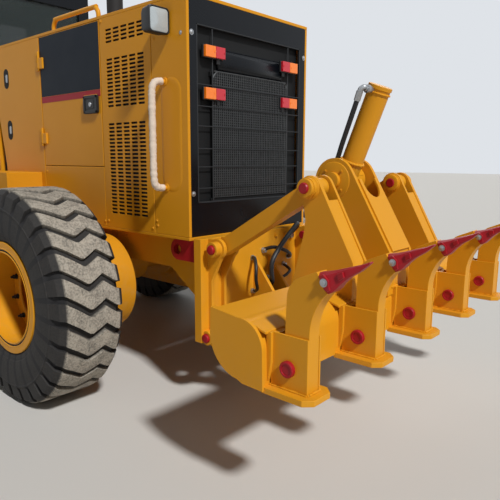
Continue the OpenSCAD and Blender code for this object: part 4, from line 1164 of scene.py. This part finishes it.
def add_weldment():
    """The beam, towers and centre plates, and the five holders."""
    bm = bmesh.new()
    # The beam between its end plates, notched where the lower arms reach it
    for y0, y1, notched in ((475, 1147, False), (390, 475, True), (0, 390, False)):
        prism_in(bm, beam_section(7.0, notched), y0, y1)
    prism_in(bm, beam_section(0.0), 1147, 1165)
    # Tower plates beside the arms, with a sheet let in between their rear edges
    tower = (arc(TOWER_PIN, 62.0, -20.0, 152.0, 14) + [TOWER_HEEL, (-1961, 800), (-1800, 760)]
             + arc(BEAM_PIN, 62.0, -90.0, 8.0, 6)
             + [(-1626, 985), (-1668, 1150), (-1677, 1225), (-1664, 1290)])
    for y0, y1 in ((370, 390), (475, 500)):
        prism_in(bm, tower, y0, y1)
    prism_in(bm, [(-1797, 1328), (-1957, 1034), (-1954, 840), (-1940, 840), (-1943, 1037), (-1785, 1321)],
             390, 475)
    # Centre plates that hold the cylinder
    centre = arc(TRUNNION, 125.0, -20.0, 150.0, 22) + [TOWER_HEEL, (-1961, 800), (-1660, 800), (-1655, 900)]
    prism_in(bm, centre, 100, 125)
    add_mirror(bm)
    # The sheet between the centre plates has a round notch for the barrel
    slope = Vector((TOWER_HEEL[0] + 1704.0, 0.0, TOWER_HEEL[1] - 1474.0)).normalized()
    notch = arc((0.0, 46.0), 72.0, 0.0, 180.0, 12)
    slab_in(bm, (-1733, 0, 1416), (0, 1, 0), slope,
            [(100, 0), (72, 0)] + notch + [(-72, 0), (-100, 0), (-100, 440), (100, 440)], 14.0)
    box_in(bm, (-1957, -100, 800), (-1943, 100, 1040))
    for y in SHANK_YS:
        holder_in(bm, y)
    put(bm, "ripper_weldment", "plate_enamel", "ripper_beam", ["ripper_beam"], edge=(2.5, 2))


def add_shanks():
    """The curved shanks, their teeth, and the bolts through the teeth."""
    bm = bmesh.new()
    shank = ([(-2013, 606)] + arc((-2126, 992), 97.0, 0.0, 65.0, 10) + [(-2168, 1116), (-2216, 1038)]
             + arc((-2393, 860), 251.0, 44.0, 0.0, 12) + [(-2142, 606)])
    for y in SHANK_YS:
        prism_in(bm, shank, y - 33.5, y + 33.5)
    put(bm, "curved_shanks", "plate_enamel", "ripper_beam", ["ripper_shanks"], edge=(3.0, 2))
    teeth, bolts = bmesh.new(), bmesh.new()
    for y in SHANK_YS:
        rings = [[teeth.verts.new(at(low[0] + (top[0] - low[0]) * share, y + half * across,
                                     low[1] + (top[1] - low[1]) * share)) for share, across in TOOTH_CORNERS]
                 for top, low, half in TOOTH]
        teeth.faces.new(rings[0][::-1])
        teeth.faces.new(rings[-1])
        bridge(teeth, rings)
        for side in (-1, 1):
            prism_in(teeth, [(-2262, 1094), (-2286, 1110), (-2279, 1131), (-2256, 1121)],
                     y + side * 26, y + side * 37)
            prism_in(teeth, [(-2182, 1104), (-2218, 1048), (-2232, 1056), (-2226, 1092), (-2204, 1112)],
                     y + side * 34, y + side * 45)
            hex_bolt_in(bolts, (-2207, y + side * 45, 1082), (0, side, 0), 12)
    put(teeth, "digging_teeth", "red_enamel", "ripper_beam", ["ripper_teeth"],
        edge=(2.5, 2, 25.0))
    put(bolts, "tooth_bolts", "zinc", "ripper_beam")


def add_pins():
    """Red pins through the holders and the linkage, and the collars round the pins."""
    bm = bmesh.new()
    for y in SHANK_YS:
        for s in (-1, 1):
            turned_in(bm, (HOLDER_PIN[0], y + s * HOLDER_HALF, HOLDER_PIN[1]), (0, s, 0),
                      ((0, 34), (15, 34), (18, 31), (18, 24), (14, 23), (14, 0)), 32)
    for x, z in (TOWER_PIN, BEAM_PIN):
        for s in (-1, 1):
            turned_in(bm, (x, s * 344, z), (0, s, 0), LINK_PIN, 28)
    put(bm, "red_pins", "red_enamel", "ripper_beam")
    bm = bmesh.new()
    for s in (-1, 1):
        for (x, z), y, way, profile, steps in (
                (TOWER_PIN, 499, s, OUTER_COLLAR, 36), (BEAM_PIN, 499, s, BEAM_COLLAR, 36),
                (TOWER_PIN, 371, -s, INNER_COLLAR, 36),
                (TRUNNION, 124, s, ((0, 104), (4, 102), (6, 96), (6, 0)), 48),
                (TRUNNION, 128, s, ((0, 46), (24, 44), (26, 30), (26, 0)), 32)):
            turned_in(bm, (x, s * y, z), (0, way, 0), profile, steps)
        for x, z in arc(TRUNNION, 74, 45.0, 315.0, 3):
            hex_bolt_in(bm, (x, s * 130, z), (0, s, 0), 7)
    put(bm, "tower_collars", "plate_enamel", "ripper_beam")


def add_cylinder_fittings():
    """The cylinder's head, weld rings, hose fitting and hose."""
    along = Vector((-377.0, 0.0, 950.0)).normalized()

    def on_cylinder(distance, side_y, out=0.0):
        return (TRUNNION[0] + along.x * distance - along.z * out, side_y,
                TRUNNION[1] + along.z * distance + along.x * out)

    head, fitting, hose, welds = bmesh.new(), bmesh.new(), bmesh.new(), bmesh.new()
    turned_in(head, on_cylinder(528, 0), along, ((0, 62), (2, 67), (19, 67), (21, 62)), 40)
    put(head, "cylinder_head", "plate_enamel", "ripper_cylinder")
    turned_in(fitting, on_cylinder(518, 58, -10), (0.2, 1, 0.05),
              ((0, 17), (24, 17), (25, 22), (42, 22), (44, 15), (58, 15)), 20)
    elbow = ((520, 104, -20), (522, 118, -26), (512, 129, -32), (494, 130, -34))
    tube_in(fitting, [on_cylinder(*place) for place in elbow], 15.0, 12)
    tube_in(fitting, [on_cylinder(498, 130, -34), on_cylinder(446, 124, -35)], 18.0, 12)
    put(fitting, "cylinder_ports", "zinc", "ripper_cylinder")
    tube_in(hose, [on_cylinder(*place) for place in BARREL_HOSE], 14.0, 12)
    put(hose, "cylinder_hose", "hose_rubber", "ripper_cylinder")
    ring_in(welds, on_cylinder(112, 0), along, 64.0, 8.0, 60, 0.35, 6)
    ring_in(welds, on_cylinder(510, 0), along, 64.0, 5.0, 60, 0.2, 7)
    put(welds, "cylinder_welds", "plate_enamel", "ripper_cylinder")


def add_mount_fittings():
    """The mounting plate's hoses, pins and bolts, and the tow lugs."""
    hoses, ends = bmesh.new(), bmesh.new()
    for radius, route in PLATE_HOSES:
        tube_in(hoses, route, radius, 12)
        nut, neck = radius * 1.6, radius * 1.25
        for x, y, z in (route[0], route[-1]):
            turned_in(ends, (x - 2, y, z), (-1, 0, 0),
                      ((0, nut), (10, nut), (11, neck), (28, neck), (30, radius)), 12)
    put(hoses, "plate_hoses", "hose_rubber", "rear")
    put(ends, "hose_ends", "zinc", "rear")
    # Tow lugs: a plate whose round end follows its hole, under the frame's rear corner
    bm = bmesh.new()
    outline = arc((-735, 971), 67.0, 90.0, -90.0, 20) + [(-905, 904), (-905, 1040)]
    holed_in(bm, outline, TOW_HOLE, 32.0, 500, 540)
    for x, z in ((-1040, 1000), (-990, 450)):
        turned_in(bm, (x, 344, z), (0, 1, 0), LINK_PIN, 28)
    put(bm, "tow_lugs_red", "red_enamel", "rear", ["tow_lugs"], mirror=True, edge=(3.0, 2))
    bm = bmesh.new()
    for y in (-250, -150, 150, 250, -300, 300):
        for z in (470, 1010):
            hex_bolt_in(bm, (-965, y, z), (-1, 0, 0), 14)
    put(bm, "plate_bolts", "plate_enamel", "rear")


class RipperOperator(bpy.types.Operator):
    """Add the ripper's beam, towers, shanks, teeth, pins, collars and hoses"""

    bl_idname = "grader.ripper"
    bl_label = "Ripper"

    def execute(self, context):
        add_weldment()
        add_shanks()
        add_pins()
        add_cylinder_fittings()
        add_mount_fittings()
        return {"FINISHED"}


class CabOperator(bpy.types.Operator):
    """Add the cab's door handles, seals, wipers and roof lamps"""

    bl_idname = "grader.cab"
    bl_label = "Cab Details"

    def execute(self, context):
        for side in ("left", "right"):
            bm = bmesh.new()
            # Window seal and the door handle
            for a, b in (((2408, 738, 1488), (3102, 744, 1500)), ((2408, 738, 2990), (3102, 744, 3002)),
                         ((2408, 738, 1488), (2420, 744, 3002)), ((3090, 738, 1488), (3102, 744, 3002))):
                box_in(bm, a, b)
            for z in (1900, 2100):
                turned_in(bm, (3130, 740, z), (0, 1, 0), ((0, 16), (3, 16), (4, 9), (30, 9)), 16)
            tube_in(bm, [(3130, 768, 1880), (3130, 770, 1940), (3130, 770, 2060), (3130, 768, 2120)], 11, 12)
            if side == "right":
                flip_side(bm)
            put(bm, "door_fittings_" + side, "black_plastic", "cab_door_" + side)
        # Wipers, and roof lamps with their lenses
        fittings, lenses = bmesh.new(), bmesh.new()
        for y in (-420, 0, 420):
            tube_in(fittings, [(3392, y, 1420), (3398, y + 60, 1750), (3394, y + 100, 2050)], 7, 8)
            box_in(fittings, (3383, y + 80, 1700), (3392, y + 112, 2350))
        for y in (-560, 560):
            box_in(fittings, (3380, y - 70, 3170), (3440, y + 70, 3240))
            box_in(lenses, (3438, y - 60, 3180), (3444, y + 60, 3230))
        put(fittings, "cab_fittings", "black_plastic", "front", edge=(2.0, 1))
        put(lenses, "roof_lamp_lenses", "lamp_glass", "front", edge=(2.0, 2))
        return {"FINISHED"}


class FrontOperator(bpy.types.Operator):
    """Add the headlamps' lenses and the cutting edge's bolts"""

    bl_idname = "grader.front"
    bl_label = "Front Details"

    def execute(self, context):
        bm = bmesh.new()
        for y in (-360, 360):
            turned_in(bm, (6250, y, 2140), (1, 0, 0), ((-1, 62), (4, 62), (7, 54), (8, 0)), 32)
        put(bm, "headlamp_lenses", "lamp_glass", "front")
        bm = bmesh.new()
        for y in range(-1750, 1750, 184):
            hex_bolt_in(bm, (4283, y, 150), (1, 0, 0.05), 12)
        put(bm, "edge_bolts", "worn_steel", "moldboard")
        return {"FINISHED"}


class GraderPanel(bpy.types.Panel):
    """The pieces of the grader"""

    bl_idname = "VIEW3D_PT_grader"
    bl_label = "Motor Grader"
    bl_space_type = "VIEW_3D"
    bl_region_type = "UI"
    bl_category = "Grader"

    def draw(self, context):
        look = context.scene.grader_looks
        for key in ("paint", "red", "lugs", "lug_depth"):
            self.layout.prop(look, key)
        for operator in OPERATORS:
            self.layout.operator(operator.bl_idname)


OPERATORS = (StageOperator, BodyworkOperator, TyresOperator, RimsOperator, SidePanelsOperator,
             EngineDoorsOperator, RearPanelOperator, LampsOperator, HandlesOperator,
             RipperOperator, CabOperator, FrontOperator)
CLASSES = (GraderLooks,) + OPERATORS + (GraderPanel,)


def register():
    for entry in CLASSES:
        bpy.utils.register_class(entry)
    bpy.types.Scene.grader_looks = bpy.props.PointerProperty(type=GraderLooks)


def unregister():
    del bpy.types.Scene.grader_looks
    for entry in reversed(CLASSES):
        bpy.utils.unregister_class(entry)


def main():
    register()
    bpy.ops.grader.stage()
    bpy.ops.grader.bodywork()
    bpy.ops.grader.tyres()
    bpy.ops.grader.rims()
    bpy.ops.grader.side_panels()
    bpy.ops.grader.engine_doors()
    bpy.ops.grader.rear_panel()
    bpy.ops.grader.lamps()
    bpy.ops.grader.handles()
    bpy.ops.grader.ripper()
    bpy.ops.grader.cab()
    bpy.ops.grader.front()


if __name__ == "__main__":
    main()
